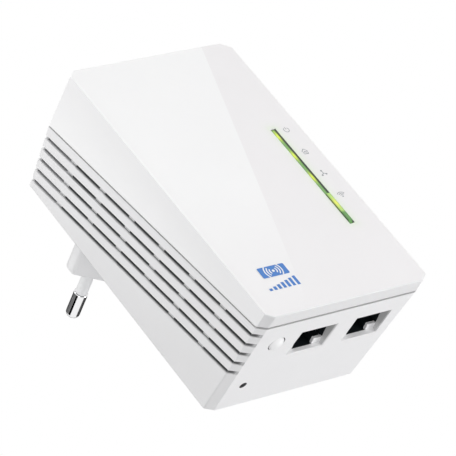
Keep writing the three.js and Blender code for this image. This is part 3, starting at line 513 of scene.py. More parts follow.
# Painted shade for the inner faces and the slit's walls.
painted_shade_plastic = moulded_material("painted_shade_inner_plastic", PAINTED_SHADE_GREY, 0.6)
# Painted shade for the seam's gap and the recess walls.
seam_shade_plastic = moulded_material("painted_shade_lip_plastic", PAINTED_SEAM_SHADE_GREY, 0.5)
# Painted shade for the vents' bridges.
bridge_shade_plastic = moulded_material("painted_shade_bridge_plastic", PAINTED_BRIDGE_SHADE_GREY, 0.5)
# Painted light on the cover's sides.
side_painted_light_plastic = cover_side_material()
# Painted shade on the cover's foot.
foot_painted_shade_plastic = casing_material("satin_white_cover_foot_painted_shade", PAINTED_FOOT_SHADE_WHITE)
# Painted light: the plug block is painted whiter than the casing.
plug_painted_light_plastic = casing_material("satin_white_plug", PAINTED_LIGHT_PLUG_WHITE)
seam_normal = Vector((0, 1, -SEAM_LEAN)).normalized()


def on_casing_skin(place):
    """Whether a point lies on the casing's outer walls, away from the vents and the housing's crisp rim."""
    past_seam = depth_past_seam(place)
    at_rim = 0.1 * MM < past_seam < MM
    at_vents = 2 * MM < past_seam < VENTS_END and abs(place.x) > REAR_HALF - VENTS_INNER
    return not (at_rim or at_vents) and min(depth_below_skin(place), place.y - FRONT_Y) < 0.1 * MM


def on_plug_skin(place):
    """Whether a point lies on the edges of the plug block that stands behind the casing."""
    behind = place.y > FRONT_Y + BODY_DEPTH + MM
    return behind and abs(place.x) > 12 * MM or place.y > -WELD and abs(place.z) > 6 * MM


def sort_cover_faces(mesh):
    """Gives the front, the inner faces, the lip in the seam, the sides and the foot their own slots: painted
    light on the front and sides, painted shade inside, in the slit, in the seam and on the foot.
    """
    for face in mesh.polygons:
        place, normal = face.center, face.normal
        level = SLIT_FOOT - WELD < place.z < SLIT_TOP + WELD
        in_slit = level and abs(place.x - SLIT_X) < SLIT_WIDTH / 2 + WELD
        deep, below = place.y - FRONT_Y, depth_below_skin(place)
        # Slot 1 carries the front's painted light.
        if normal.y < -0.99 and deep < SKIN:
            face.material_index = 1
        # Slot 3 paints shade on the lip in the seam's gap.
        elif depth_past_seam(place) > -WELD and SKIN < below < LIP_DEPTH:
            face.material_index = 3
        # Slot 2 paints shade in the slit and on the inner faces.
        elif in_slit or min(deep, below) > SKIN and abs(normal.dot(seam_normal)) < 0.99:
            face.material_index = 2
        # Slot 4 paints light on the cover's sides.
        elif below < 0.5 * MM:
            # Slot 5 paints shade on the foot and the faces that look down.
            face.material_index = 4 if abs(normal.x) > 0.9 else 5 if normal.z < -0.3 else 0


def sort_housing_faces(mesh):
    """Gives the vents' walls and bridges, the seam's edge, recess walls and inner faces their slots, each of
    them painted shade.
    """
    low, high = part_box("ethernet_jack_left")[0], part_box("ethernet_jack_right")[1]
    for face in mesh.polygons:
        place, normal = face.center, face.normal
        depth = depth_below_skin(place)
        at_ports = low.x - MM < place.x < high.x + MM and place.z < low.z + MM
        in_recess = at_ports and depth > BELOW_SKIN and normal.x < -0.7 and face.area > RECESS_WALL
        # Slot 3 paints shade on the housing's seam edge and on the sockets' recess walls.
        if normal.dot(seam_normal) < -0.99 and depth_past_seam(place) < MM or in_recess:
            face.material_index = 3
        # Slot 2 paints shade on the housing's inner faces.
        elif depth > BELOW_SKIN and not at_ports:
            in_vents = depth < 1.9 * MM and abs(place.x) > REAR_HALF - VENTS_INNER
            # Slot 4 paints shade on the bridges between the windows.
            on_bridge = abs(normal.x) > 0.9 and depth < SKIN
            # Slot 1 holds the vents' walls with their painted shade.
            face.material_index = (4 if on_bridge else 1) if in_vents else 2 if depth > SKIN else 0


for node, width, on_skin, segments, sort_faces, finishes in (
        ("front_cover", CASING_EDGE, on_casing_skin, 2, sort_cover_faces, (
            casing_plastic, front_painted_light_plastic, painted_shade_plastic, seam_shade_plastic, side_painted_light_plastic, foot_painted_shade_plastic)),
        ("rear_housing", CASING_EDGE, on_casing_skin, 2, sort_housing_faces, (
            casing_plastic, vent_painted_shade_plastic, painted_shade_plastic, seam_shade_plastic, bridge_shade_plastic)),
        ("plug_block", PLUG_EDGE, on_plug_skin, 4, None, (plug_painted_light_plastic,))):
    mesh = softened_mesh(node, node + "_moulding", width, on_skin, segments)
    for finish in finishes:
        mesh.materials.append(finish)
    if sort_faces:
        sort_faces(mesh)
    finish_piece(add_object(mesh.name, mesh), "casing", "casing", (), node)

# Printing on the front
# Pad printed in thin ink: four grey signs beside the lights, for power, house wiring, linked devices
# and radio, and a blue label low on the left with a wireless sign over a row of rising bars.
INK = 0.02 * MM
INK_STEP = 0.1
SIGN_STROKE = 0.17 * MM
SIGN_X = 22.2
SIGN_SIZE = 0.96
GREY_INK = (0.30, 0.31, 0.33, 1)
BLUE_INK = (0.07, 0.22, 0.58, 1)
WHITE_INK = (0.87, 0.87, 0.87, 1)


def mesh_of(form, name):
    """A mesh of a form, which is freed."""
    mesh = bpy.data.meshes.new(name)
    form.to_mesh(mesh)
    form.free()
    return mesh


def arc(x, z, radius, start, end, steps=14):
    """Points of an arc in millimetres on the front, between two angles in degrees."""
    turns = [math.radians(start + (end - start) * i / steps) for i in range(steps + 1)]
    return [(x + radius * math.cos(turn), z + radius * math.sin(turn)) for turn in turns]


def dot(x, z, radius):
    """The outline of a small filled dot."""
    return arc(x, z, radius, 0, 330, 11)


def print_piece(name, strokes, fills, width, layer, material):
    """One printed sign: strokes of an even width and filled outlines, each a hair above the one before."""
    form = bmesh.new()
    front = FRONT_Y - layer * INK

    def vertex(x, z):
        return form.verts.new((x * MM, front, z * MM + FOOT_Z))

    for line in strokes:
        front -= INK * INK_STEP
        points = [Vector(point) for point in line]
        pairs = []
        for i, point in enumerate(points):
            before, after = points[max(i - 1, 0)], points[min(i + 1, len(points) - 1)]
            run = (after - before).normalized()
            side = Vector((-run.y, run.x)) * width / MM / 2
            if 0 < i < len(points) - 1:
                side /= max(run.dot((after - point).normalized()), 0.5)
            pairs.append((vertex(*(point - side)), vertex(*(point + side))))
        for (a, b), (c, d) in zip(pairs, pairs[1:]):
            form.faces.new((a, c, d, b))
    for outline in fills:
        front -= INK * INK_STEP
        form.faces.new([vertex(*point) for point in outline])
    bmesh.ops.recalc_face_normals(form, faces=form.faces)
    for face in form.faces:
        if face.normal.y > 0:
            face.normal_flip()
    raised = bmesh.ops.extrude_face_region(form, geom=form.faces[:])
    corners = [item for item in raised["geom"] if isinstance(item, bmesh.types.BMVert)]
    bmesh.ops.translate(form, verts=corners, vec=(0, -INK, 0))
    bmesh.ops.recalc_face_normals(form, faces=form.faces)
    finish_piece(add_object(name, mesh_of(form, name)), "casing", "casing", (material,))


def power_sign(x, z, size):
    """A ring open at the top, with an upright stroke in the opening."""
    return [arc(x, z, size * 0.85, 125, 415, 22), [(x, z + size * 0.15), (x, z + size * 1.1)]], []


def house_sign(x, z, size):
    """A house with a plug socket drawn in it."""
    wall, eave = size * 0.72, z + size * 0.1
    roof = [(x - size, eave), (x, z + size), (x + size, eave)]
    walls = [(x - wall, eave), (x - wall, z - size * 0.9), (x + wall, z - size * 0.9), (x + wall, eave)]
    return [roof, walls, arc(x, z - size * 0.25, size * 0.3, -60, 240, 12)], []


def linked_sign(x, z, size):
    """Three devices joined at a middle point."""
    ends = [(x + size * across, z + size * up) for across, up in ((-0.75, -0.7), (0.8, -0.45), (-0.1, 0.95))]
    return [[(x, z), end] for end in ends], [dot(*end, size * 0.3) for end in ends] + [dot(x, z, size * 0.2)]


def radio_sign(x, z, size, spread=50):
    """Three arcs over a dot."""
    base = z - size * 0.8
    rings = [arc(x, base, size * share, 90 - spread, 90 + spread) for share in (0.65, 1.15, 1.65)]
    return rings, [dot(x, base, size * 0.22)]


grey_ink = moulded_material("grey_pad_print", GREY_INK, 0.5, 0.05, scale=5000.0)
blue_ink = moulded_material("blue_pad_print", BLUE_INK, 0.45, 0.05, scale=5000.0)
white_ink = moulded_material("white_pad_print", WHITE_INK, 0.45, 0.05, scale=5000.0)
for name, draw, height in (
        ("power_sign", power_sign, 59.0), ("house_sign", house_sign, 50.35),
        ("linked_sign", linked_sign, 41.8), ("radio_sign", radio_sign, 33.5)):
    strokes, fills = draw(SIGN_X, height, SIGN_SIZE)
    print_piece(name, strokes, fills, SIGN_STROKE, 0, grey_ink)

LABEL_LEFT, LABEL_RIGHT, LABEL_FOOT, LABEL_TOP = -19.45, -10.9, 12.45, 16.0
LABEL_CORNER = 0.35
BARS_LEFT, BARS_RIGHT, BARS_FOOT, BARS_TOP = -20.4, -10.5, 8.2, 11.3
BAR_COUNT = 7
label_outline = [
    point for x, z, start in (
        (LABEL_RIGHT - LABEL_CORNER, LABEL_TOP - LABEL_CORNER, 0),
        (LABEL_LEFT + LABEL_CORNER, LABEL_TOP - LABEL_CORNER, 90),
        (LABEL_LEFT + LABEL_CORNER, LABEL_FOOT + LABEL_CORNER, 180),
        (LABEL_RIGHT - LABEL_CORNER, LABEL_FOOT + LABEL_CORNER, 270))
    for point in arc(x, z, LABEL_CORNER, start, start + 90, 5)]
bars = []
for i in range(BAR_COUNT):
    left = BARS_LEFT + (BARS_RIGHT - BARS_LEFT) * i / (BAR_COUNT - 0.4)
    right = left + (BARS_RIGHT - BARS_LEFT) * 0.6 / (BAR_COUNT - 0.4)
    top = BARS_FOOT + (BARS_TOP - BARS_FOOT) * (i + 2) / (BAR_COUNT + 1)
    bars.append([(left, BARS_FOOT), (right, BARS_FOOT), (right, top), (left, top)])
print_piece("blue_label", [], [label_outline], SIGN_STROKE, 0, blue_ink)
print_piece("blue_bars", [], bars, SIGN_STROKE, 0, blue_ink)
label_x, label_z = (LABEL_LEFT + LABEL_RIGHT) / 2, (LABEL_FOOT + LABEL_TOP) / 2
waves = [
    arc(label_x, label_z, radius, turn - 42, turn + 42, 10)
    for radius in (1.1, 1.9, 2.7) for turn in (0, 180)]
print_piece("label_waves", waves, [dot(label_x, label_z, 0.42)], 0.34 * MM, 1, white_ink)

# Light guide, lights and wireless key
# The guide is one clear green tinted moulding sunk in the slit, with a post over each diode. The key
# is a lighter moulding in the slit's lower end. Both glow where a diode stands behind them.
GUIDE_EDGE = 0.12
GUIDE_CROWN = 0.4 * MM
GUIDE_GREEN = (0.12, 0.26, 0.08, 1)
GUIDE_LIT = (0.66, 0.66, 0.03, 1)
GUIDE_HAZE = (0.09, 0.17, 0.06, 1)
# Painted shade at the guide's sides in the slit.
GUIDE_SHADE_RIM = (0.03, 0.05, 0.03, 1)
KEY_GREEN = (0.36, 0.55, 0.13, 1)
KEY_DEEP = (0.05, 0.17, 0.04, 1)
KEY_LIT = (0.50, 0.34, 0.01, 1)
SPOT_SPREAD = 1.7 * MM
KEY_TURN, KEY_TURN_RUN = 27.4 * MM + FOOT_Z, 0.8 * MM
CORE_REACH = 0.56
RIM_FROM, RIM_RATE = 0.34, 3.5
CLEAR_IOR = 1.49


def light_spot_group():
    """Node group: a soft spot of light centred at a height."""
    group, given, result = new_group(
        "light spot", (("Height", "Float", 0.0), ("Spread", "Float", 0.002)), (("Light", "Float"),))
    away = (place_axes(group)[2] - given["Height"]) / given["Spread"]
    feed(result, {"Light": (away * away * -1.0).math("EXPONENT")})
    return group


light_spot = light_spot_group()


def lit_material(name, color, glow, heights, deep=None):
    """A clear tinted moulding with painted shade at its sides, that glows in soft spots at given heights."""
    made = moulded_material(name, color, 0.22, 0.12, scale=1800.0)
    tree = made.node_tree
    light = None
    for height in heights:
        spot = Field(add_node(tree, "ShaderNodeGroup", {
            "Height": height * MM + FOOT_Z, "Spread": SPOT_SPREAD}, node_tree=light_spot).outputs[0])
        light = light.math("MAXIMUM", spot) if light else spot
    light = light * (noise(tree, 900.0, 2.0, (0.3, 0.3, 3.0)) * 0.5 + 0.75)
    x, _, z = place_axes(tree)
    across = (x - SLIT_X) / (SLIT_WIDTH * CORE_REACH)
    core = 1.0 - across * across
    shining = blend_colors(light * core, GUIDE_HAZE, glow)
    feed_shader(made, {
        "Emission Color": blend_colors(core, BLACK, shining), "Emission Strength": 1.0, "IOR": CLEAR_IOR})
    if deep:
        color = blend_colors(((z - KEY_TURN) / KEY_TURN_RUN).share(), deep, color)
    # Painted shade at the guide's sides.
    color_surface(made, blend_colors(((core - RIM_FROM) * RIM_RATE).share(), GUIDE_SHADE_RIM, color))
    return made


guide_plastic = lit_material("lit_green_guide", GUIDE_GREEN, GUIDE_LIT, (57.7, 50.0, 41.5))
key_plastic = lit_material("lit_green_key", KEY_GREEN, KEY_LIT, (31.0,), KEY_DEEP)
guide_mesh = softened_mesh("light_guide", "light_guide_bar", GUIDE_EDGE * MM)
for corner in guide_mesh.vertices:
    if corner.co.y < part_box("light_guide")[0].y + 1.1 * GUIDE_EDGE * MM:
        corner.co.y -= GUIDE_CROWN
finish_piece(add_object("light_guide_bar", guide_mesh), "casing", "guide", (guide_plastic,), "light_guide")
soft_piece("wifi_button", "wifi_key_cap", GUIDE_EDGE, "key", key_plastic, "wifi_key")


def diode_material():
    """White diode body with a lit yellow green window on its front."""
    made = moulded_material("lit_diode", (0.7, 0.7, 0.66, 1), 0.4, 0.03)
    tree = made.node_tree
    front = place_axes(tree)[1].math("LESS_THAN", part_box("led_power")[0].y + 0.45 * MM)
    glow = blend_colors(front * (noise(tree, 1500.0, 1.0) * 0.4 + 0.8), BLACK, (0.8, 0.9, 0.12, 1))
    feed_shader(made, {"Emission Color": glow, "Emission Strength": 1.0})
    return made


diode_finish = diode_material()
for node in ("led_power", "led_powerline", "led_ethernet", "led_wifi"):
    soft_piece(node, node + "_diode", 0.1, "light", diode_finish)

# Pair button
# A turned white cap with a shallow dome for the fingertip, held behind the lower wall by its rim,
# with a stem up to the switch.
PAIR_RADIUS = 2.3 * MM
PAIR_DOME, PAIR_DOME_SHARE = 0.7 * MM, 0.96
PAIR_RIM = 3.3 * MM
PAIR_RIM_FROM, PAIR_RIM_TO = 3.453 * MM, 4.353 * MM
PAIR_STEM = 1.5 * MM
TURNED_STEPS = 64


def turned_mesh(name, profile, place, axis, steps=TURNED_STEPS):
    """A closed solid turned round an axis, from pairs of radius and distance along it."""
    form = bmesh.new()
    rings = []
    for radius, along in profile:
        turns = [2 * math.pi * i / steps for i in range(steps if radius >= WELD else 1)]
        rings.append([form.verts.new((radius * math.cos(t), radius * math.sin(t), along)) for t in turns])
    for low, high in zip(rings, rings[1:] + ([] if profile[0][0] < WELD else rings[:1])):
        for i in range(steps):
            j = (i + 1) % steps
            corners = [low[i % len(low)], low[j % len(low)], high[j % len(high)], high[i % len(high)]]
            form.faces.new(list(dict.fromkeys(corners)))
    turn = Vector((0, 0, 1)).rotation_difference(Vector(axis)).to_matrix().to_4x4()
    form.transform(Matrix.Translation(place) @ turn)
    bmesh.ops.recalc_face_normals(form, faces=form.faces)
    mesh = mesh_of(form, name)
    mesh.shade_smooth()
    return mesh


def rounded(radius, along, cut, inward, steps=4):
    """Points of a small quarter round on the outer corner of a turned profile."""
    turns = [math.pi / 2 * i / steps for i in range(steps + 1)]
    return [(radius - cut * (1 - math.cos(t)), along + inward * cut * (1 - math.sin(t))) for t in turns]


def sharp_edges(mesh, angle=32):
    """Marks the hard edges of a turned mesh, so that only its rounds are shaded smooth."""
    form = bmesh.new()
    form.from_mesh(mesh)
    for edge in form.edges:
        if len(edge.link_faces) == 2 and edge.calc_face_angle() > math.radians(angle):
            edge.smooth = False
    form.to_mesh(mesh)
    form.free()


def turned_piece(name, profile, place, axis, body, slot, material, *replaced):
    """A turned piece, finished."""
    mesh = turned_mesh(name, profile, place, axis)
    sharp_edges(mesh)
    finish_piece(add_object(name, mesh), body, slot, (material,), *replaced)


pair_low, pair_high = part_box("pair_button")
pair_middle = ((pair_low.x + pair_high.x) / 2, (pair_low.y + pair_high.y) / 2, pair_low.z)
pair_height = pair_high.z - pair_low.z
dome_shares = [PAIR_DOME_SHARE * i / 10 for i in range(11)]
pair_profile = [(PAIR_RADIUS * share, PAIR_DOME * share ** 2) for share in dome_shares] + [
    (PAIR_RADIUS * 0.99, PAIR_DOME + 0.03 * MM), (PAIR_RADIUS, PAIR_DOME + 0.12 * MM),
    (PAIR_RADIUS, PAIR_RIM_FROM), (PAIR_RIM, PAIR_RIM_FROM), (PAIR_RIM, PAIR_RIM_TO),
    (PAIR_STEM, PAIR_RIM_TO), (PAIR_STEM, pair_height), (0, pair_height)]
button_plastic = moulded_material("satin_white_button", (0.9, 0.9, 0.9, 1), 0.3, 0.02)
turned_piece("pair_button_cap", pair_profile, pair_middle, (0, 0, 1), "pair_key", "casing", button_plastic,
             "pair_button")

# Switches
# Small black dome switches soldered to the boards, with a bright steel plunger under the pair button
# and the pinhole, and a flat one under the wireless key.
switch_plastic = moulded_material("black_switch_plastic", (0.018, 0.018, 0.02, 1), 0.5, 0.05)
bright_steel = moulded_material("bright_steel", (0.62, 0.63, 0.64, 1), 0.28, 0.04, 1.0, 0.06)
for key, body in (("wifi", "wifi_key"), ("pair", "pair_key"), ("reset", "reset_key")):
    soft_piece(key + "_switch_body", key + "_switch_case", 0.2, "dark", switch_plastic)
    soft_piece(key + "_switch_plunger", key + "_switch_pin", 0.12, "steel", bright_steel, body)

# Network sockets
# Each is a black moulded jack with a keyway in its rear wall, and eight gold plated spring wires that
# lean into it from a comb at its closed end.
WIRE_COUNT = 8
WIRE_PITCH = 1.02 * MM
WIRE_THICKNESS = 0.42 * MM
WIRE_BEND = 0.6 * MM
COMB_HEIGHT = 1.2 * MM


def geometry_group(name, sizes):
    """An empty geometry group with named sizes and a finish."""
    given = (("Geometry", "Geometry", None), *sizes, ("Finish", "Material", None))
    return new_group(name, given, (("Geometry", "Geometry"),), "GeometryNodeTree")


def end_group(tree, given, result, instances):
    """Ends a geometry group: its instances made real, in the group's finish."""
    real = add_node(tree, "GeometryNodeRealizeInstances", {0: instances})
    finished = add_node(tree, "GeometryNodeSetMaterial", {"Geometry": real, "Material": given["Finish"]})
    feed(result, {0: finished})
    return tree


def applied(piece):
    """The piece with its modifiers made part of its mesh."""
    depsgraph = bpy.context.evaluated_depsgraph_get()
    mesh = bpy.data.meshes.new_from_object(piece.evaluated_get(depsgraph), depsgraph=depsgraph)
    piece.modifiers.clear()
    piece.data = mesh
    mesh.name = piece.name
    return piece


def grow(name, mesh, tree, **values):
    """An object that holds, as a plain mesh, what a geometry group makes of a mesh."""
    piece = add_object(name, mesh)
    growth = piece.modifiers.new(name, "NODES")
    growth.node_group = tree
    for item in tree.interface.items_tree:
        if item.in_out == "INPUT" and item.name in values:
            growth[item.identifier] = values[item.name]
    return applied(piece)


def bent_wires_group():
    """Geometry group: one bent wire along the given path, repeated side by side."""
    tree, given, result = geometry_group("bent wires", (
        ("Count", "Int", 8), ("Step", "Vector", (0.001, 0, 0)), ("Thickness", "Float", 0.0004),
        ("Bend", "Float", 0.0004)))
    path = add_node(tree, "GeometryNodeMeshToCurve", {"Mesh": given["Geometry"]})
    fillet = add_node(tree, "GeometryNodeFilletCurve", {
        "Curve": path, "Count": 4, "Radius": given["Bend"]}, mode="POLY")
    section = add_node(tree, "GeometryNodeCurvePrimitiveCircle", {
        "Resolution": 8, "Radius": Field(given["Thickness"]) * 0.5})
    wire = add_node(tree, "GeometryNodeCurveToMesh", {
        "Curve": fillet, "Profile Curve": section, "Fill Caps": True})
    places = add_node(tree, "GeometryNodeMeshLine", {"Count": given["Count"], "Offset": given["Step"]})
    wires = add_node(tree, "GeometryNodeInstanceOnPoints", {"Points": places, "Instance": wire})
    return end_group(tree, given, result, wires)


bent_wires = bent_wires_group()


def wire_row(name, points, count, step, thickness, bend, finish):
    """A row of equal wires, each bent along the same points."""
    mesh = bpy.data.meshes.new(name)
    mesh.from_pydata(points, [(i, i + 1) for i in range(len(points) - 1)], [])
    return grow(name, mesh, bent_wires, Count=count, Step=step, Thickness=thickness, Bend=bend, Finish=finish)


def rounded_block(name, low, high, edge):
    """An object of a plain moulded block with rounded edges between two corners."""
    form = bmesh.new()
    low, high = Vector(low), Vector(high)
    place = Matrix.Translation((low + high) / 2) @ Matrix.Diagonal((*(high - low), 1))
    bmesh.ops.create_cube(form, size=1, matrix=place)
    bmesh.ops.bevel(form, geom=form.edges[:], offset=edge, segments=2, affect="EDGES", profile=0.5)
    return add_object(name, mesh_of(form, name))


jack_plastic = moulded_material("black_jack_plastic", (0.006, 0.009, 0.011, 1), 0.55, 0.06)
feed_shader(jack_plastic, {"Specular IOR Level": 0.2})
gold_plate = moulded_material("gold_plated_wire", (0.80, 0.62, 0.28, 1), 0.25, 0.05, 1.0, 0.1)
comb_plastic = moulded_material("black_comb_plastic", (0.010, 0.011, 0.012, 1), 0.6, 0.06)
for side in ("right", "left"):
    soft_piece("ethernet_jack_" + side, "network_jack_" + side, 0.15, "jack", jack_plastic)
    low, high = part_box("jack_contacts_" + side)
    first, half = (low.x + high.x) / 2 - WIRE_PITCH * (WIRE_COUNT - 1) / 2, WIRE_THICKNESS / 2
    spring = [
        (first, high.y - half, high.z - COMB_HEIGHT / 2), (first, high.y - half, high.z - COMB_HEIGHT - MM),
        (first, low.y + half, low.z + 1.6 * MM), (first, low.y + 2 * half, low.z + half)]
    wires = wire_row("jack_wires_" + side, spring, WIRE_COUNT, (WIRE_PITCH, 0, 0), WIRE_THICKNESS, WIRE_BEND,
                     gold_plate)
    finish_piece(wires, "casing", "gold", (gold_plate,), "jack_contacts_" + side)
    comb = rounded_block("jack_comb_" + side, (low.x, low.y, high.z - COMB_HEIGHT), high, 0.15 * MM)
    finish_piece(comb, "casing", "jack", (comb_plastic,))

# Plug pins and sleeves
# Two nickel plated brass pins with rounded tips. Each runs through a pale insulating sleeve and the
# plug block to the power board. Dark cards that only mirrors show give the plating its dark bands.
PIN_RADIUS = 2 * MM
PIN_NECK = 1.43 * MM
PIN_ROOT = -27 * MM
PIN_REACH = 19 * MM
PIN_ROUND = 1.4 * MM
SLEEVE_FROM, SLEEVE_REACH = -1.9 * MM, 10 * MM
SLEEVE_BORE, SLEEVE_RADIUS, SLEEVE_FOOT = 1.55 * MM, 1.7 * MM, 1.9 * MM
NICKEL_RIM = (0.12, 0.12, 0.13, 1)
nickel = moulded_material("nickel_plating", (0.90, 0.90, 0.905, 1), 0.06, 0.01, 1.0, 0.03)
feed_shader(nickel, {"Specular Tint": NICKEL_RIM})
sleeve_plastic = moulded_material("pale_sleeve_plastic", (0.95, 0.955, 0.96, 1), 0.35, 0.03)
pin_profile = [
    (0, PIN_ROOT), (PIN_NECK, PIN_ROOT), (PIN_NECK, SLEEVE_REACH + 0.1 * MM),
    (PIN_RADIUS - 0.12 * MM, SLEEVE_REACH + 0.1 * MM), (PIN_RADIUS, SLEEVE_REACH + 0.22 * MM),
    *rounded(PIN_RADIUS, PIN_REACH, PIN_ROUND, -1, 8), (0, PIN_REACH)]
sleeve_profile = [
    (SLEEVE_BORE, SLEEVE_FROM), (SLEEVE_FOOT, SLEEVE_FROM), (SLEEVE_FOOT, 0.2 * MM),
    (SLEEVE_RADIUS + 0.05 * MM, 0.5 * MM), (SLEEVE_RADIUS, 0.9 * MM),
    (SLEEVE_RADIUS, SLEEVE_REACH - 0.1 * MM), (SLEEVE_RADIUS - 0.1 * MM, SLEEVE_REACH),
    (SLEEVE_BORE, SLEEVE_REACH)]
for side in ("left", "right"):
    low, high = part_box("plug_pin_" + side)
    middle = ((low.x + high.x) / 2, 0, (low.z + high.z) / 2)
    turned_piece("nickel_pin_" + side, pin_profile, middle, (0, 1, 0), "casing", "pin", nickel,
                 "plug_pin_" + side)
    turned_piece("insulating_sleeve_" + side, sleeve_profile, middle, (0, 1, 0), "casing", "sleeve",
                 sleeve_plastic, "pin_sleeve_" + side)

CARD_Y = 60 * MM
CARD_INNER, CARD_OUTER = 40 * MM, 90 * MM
CARD_STEPS = 12
pin_x = (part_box("plug_pin_left")[0].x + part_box("plug_pin_left")[1].x) / 2
for name, start, end, tone in (
        ("card_above", 20, 168, 0.18), ("card_strip", 168, 201, 0.0), ("card_beside", 302, 380, 0.1)):
    rim = [
        (pin_x + x, CARD_Y, z) for reach in (CARD_INNER, CARD_OUTER)
        for x, z in arc(0, 0, reach, start, end, CARD_STEPS)]
    card_mesh = bpy.data.meshes.new(name)
    outer = CARD_STEPS + 1
    card_mesh.from_pydata(rim, [], [(i, i + 1, i + 1 + outer, i + outer) for i in range(CARD_STEPS)])
    card_mesh.materials.append(plain_material(name + "_paper", {
        "Base Color": (tone, tone, tone, 1), "Specular IOR Level": 0.0}))
    card = add_object(name, card_mesh)
    card.visible_camera = card.visible_diffuse = card.visible_shadow = card.visible_transmission = False

# Case screws
# Two self cutting steel screws at the bottom of deep holes in the back, with domed heads and a
# cross recess.
RECESS_LENGTH, RECESS_WIDTH, RECESS_DEPTH = 2.3 * MM, 0.55 * MM, 1.0 * MM
HEAD_RADIUS, HEAD_HEIGHT = 2.1 * MM, 1.7 * MM
CORE_RADIUS, THREAD_RADIUS, THREAD_PITCH = 1.0 * MM, 1.25 * MM, 0.9 * MM


def crossed_screw(node, name):
    """A frame screw, turned with more faces, with a thread and a cross cut into its head."""
    low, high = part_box(node)
    seat = high.y - HEAD_HEIGHT
    profile = [(0, low.y), (CORE_RADIUS * 0.5, low.y)]
    for i in range(int((seat - low.y - 2 * MM) / THREAD_PITCH)):
        start = low.y + MM + i * THREAD_PITCH
        profile += [
            (CORE_RADIUS, start), (THREAD_RADIUS, start + 0.3 * MM), (THREAD_RADIUS, start + 0.38 * MM),
            (CORE_RADIUS, start + 0.68 * MM)]
    profile += [
        (CORE_RADIUS, seat), (HEAD_RADIUS, seat), (HEAD_RADIUS, seat + 0.9 * MM),
        (HEAD_RADIUS * 0.93, seat + 1.25 * MM), (HEAD_RADIUS * 0.7, high.y), (0, high.y)]
    x, z = (low.x + high.x) / 2, (low.z + high.z) / 2
    piece = add_object(name, turned_mesh(name, profile, (x, 0, z), (0, 1, 0), 40))
    form = bmesh.new()
    for across, up in ((RECESS_LENGTH, RECESS_WIDTH), (RECESS_WIDTH, RECESS_LENGTH)):
        place = Matrix.Translation((x, high.y, z)) @ Matrix.Diagonal((across, 2 * RECESS_DEPTH, up, 1))
        bmesh.ops.create_cube(form, size=1, matrix=place)
    cross = add_object(name + "_cross", mesh_of(form, name + "_cross"))
    recess = piece.modifiers.new("cross recess", "BOOLEAN")
    recess.operation = "DIFFERENCE"
    recess.object = cross
    recess.use_self = True
    applied(piece)
    bpy.data.objects.remove(cross)
    sharp_edges(piece.data)
    return piece


for side in ("left", "right"):
    screw = crossed_screw("case_screw_" + side, "cross_screw_" + side)
    finish_piece(screw, "casing", "steel", (bright_steel,), "case_screw_" + side)

# Circuit boards and the sheet between them
# Glass fibre boards under green lacquer, with copper tracks that show through it as a lighter green,
# and a sheet of black fibre film that keeps the mains parts off the logic board.
LACQUER = (0.014, 0.12, 0.045, 1)
TRACK = (0.035, 0.24, 0.09, 1)


def copper_tracks_group():
    """Node group: straight tracks and pads that show through a board's lacquer."""
    group, given, result = new_group("copper tracks", (
        ("Lacquer", "Color", LACQUER), ("Track", "Color", TRACK), ("Scale", "Float", 420.0),
    ), (("Color", "Color"), ("Height", "Float")))
    cells = add_node(group, "ShaderNodeTexVoronoi", {
        "Vector": object_place(group), "Scale": given["Scale"]}, distance="CHEBYCHEV", feature="F1")
    track = (Field(cells.outputs["Distance"]) * 5.0).math("FRACT").math("GREATER_THAN", 0.55)
    feed(result, {"Color": blend_colors(track, given["Lacquer"], given["Track"]), "Height": track})
    return group


copper_tracks = copper_tracks_group()


def board_material(name, scale):
    """Lacquered board with raised tracks."""
    made = moulded_material(name, LACQUER, 0.35)
    tracks = add_node(made.node_tree, "ShaderNodeGroup", {"Scale": scale}, node_tree=copper_tracks)
    color_surface(made, tracks.outputs["Color"])
    feed(made.node_tree.nodes["bump"], {"Strength": 0.25, "Height": tracks.outputs["Height"]})
    return made


fibre_film = moulded_material("black_fibre_film", (0.02, 0.02, 0.022, 1), 0.7, 0.15, scale=900.0)
logic_lacquer = board_material("logic_board_lacquer", 420.0)
power_lacquer = board_material("power_board_lacquer", 190.0)
soft_piece("logic_board", "logic_board_laminate", 0.1, "board", logic_lacquer)
soft_piece("button_board", "button_board_laminate", 0.1, "board", logic_lacquer)
soft_piece("power_board", "power_board_laminate", 0.1, "board", power_lacquer)
soft_piece("insulation_sheet", "insulating_film", 0.05, "dark", fibre_film)

# Parts on the logic board
# Black epoxy packages with tinned legs, a finned aluminium heat sink, a stamped shield can, two
# transformers and two stamped antennas, all soldered to the board, with small chip parts in front.
LEG_THICKNESS = 0.3 * MM
LEG_REACH = 0.8 * MM
LEG_BEND = 0.15 * MM


def brushed_material(name, color, roughness, stretch):
    """Bare sheet metal with fine drawn streaks."""
    made = moulded_material(name, color, roughness, 0.12, 1.0, 0.08)
    feed(made.node_tree.nodes["bump"], {"Height": noise(made.node_tree, 1500.0, 3.0, stretch)})
    return made


def chip_legs(node, along, count, reach=LEG_REACH):
    """Two rows of gull wing legs on opposite sides of a package, stepped along x (0) or z (2)."""
    low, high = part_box(node)
    across = 2 - along
    rise, foot = (high.y - low.y) * 0.5, LEG_THICKNESS / 2
    pitch = (high[along] - low[along]) / (count + 0.5)
    rows = []
    for edge, out in ((low[across], -1), (high[across], 1)):
        points = []
        for outwards, up in ((-0.3, rise), (0.35, rise), (0.5, foot), (1.0, foot)):
            point = [0, low.y + up, 0]
            point[along] = (low[along] + high[along]) / 2 - pitch * (count - 1) / 2
            point[across] = edge + out * outwards * reach
            points.append(tuple(point))
        step = [0, 0, 0]
        step[along] = pitch
        rows.append(wire_row("legs", points, count, step, min(LEG_THICKNESS, pitch * 0.55), LEG_BEND, tinned))
    return rows


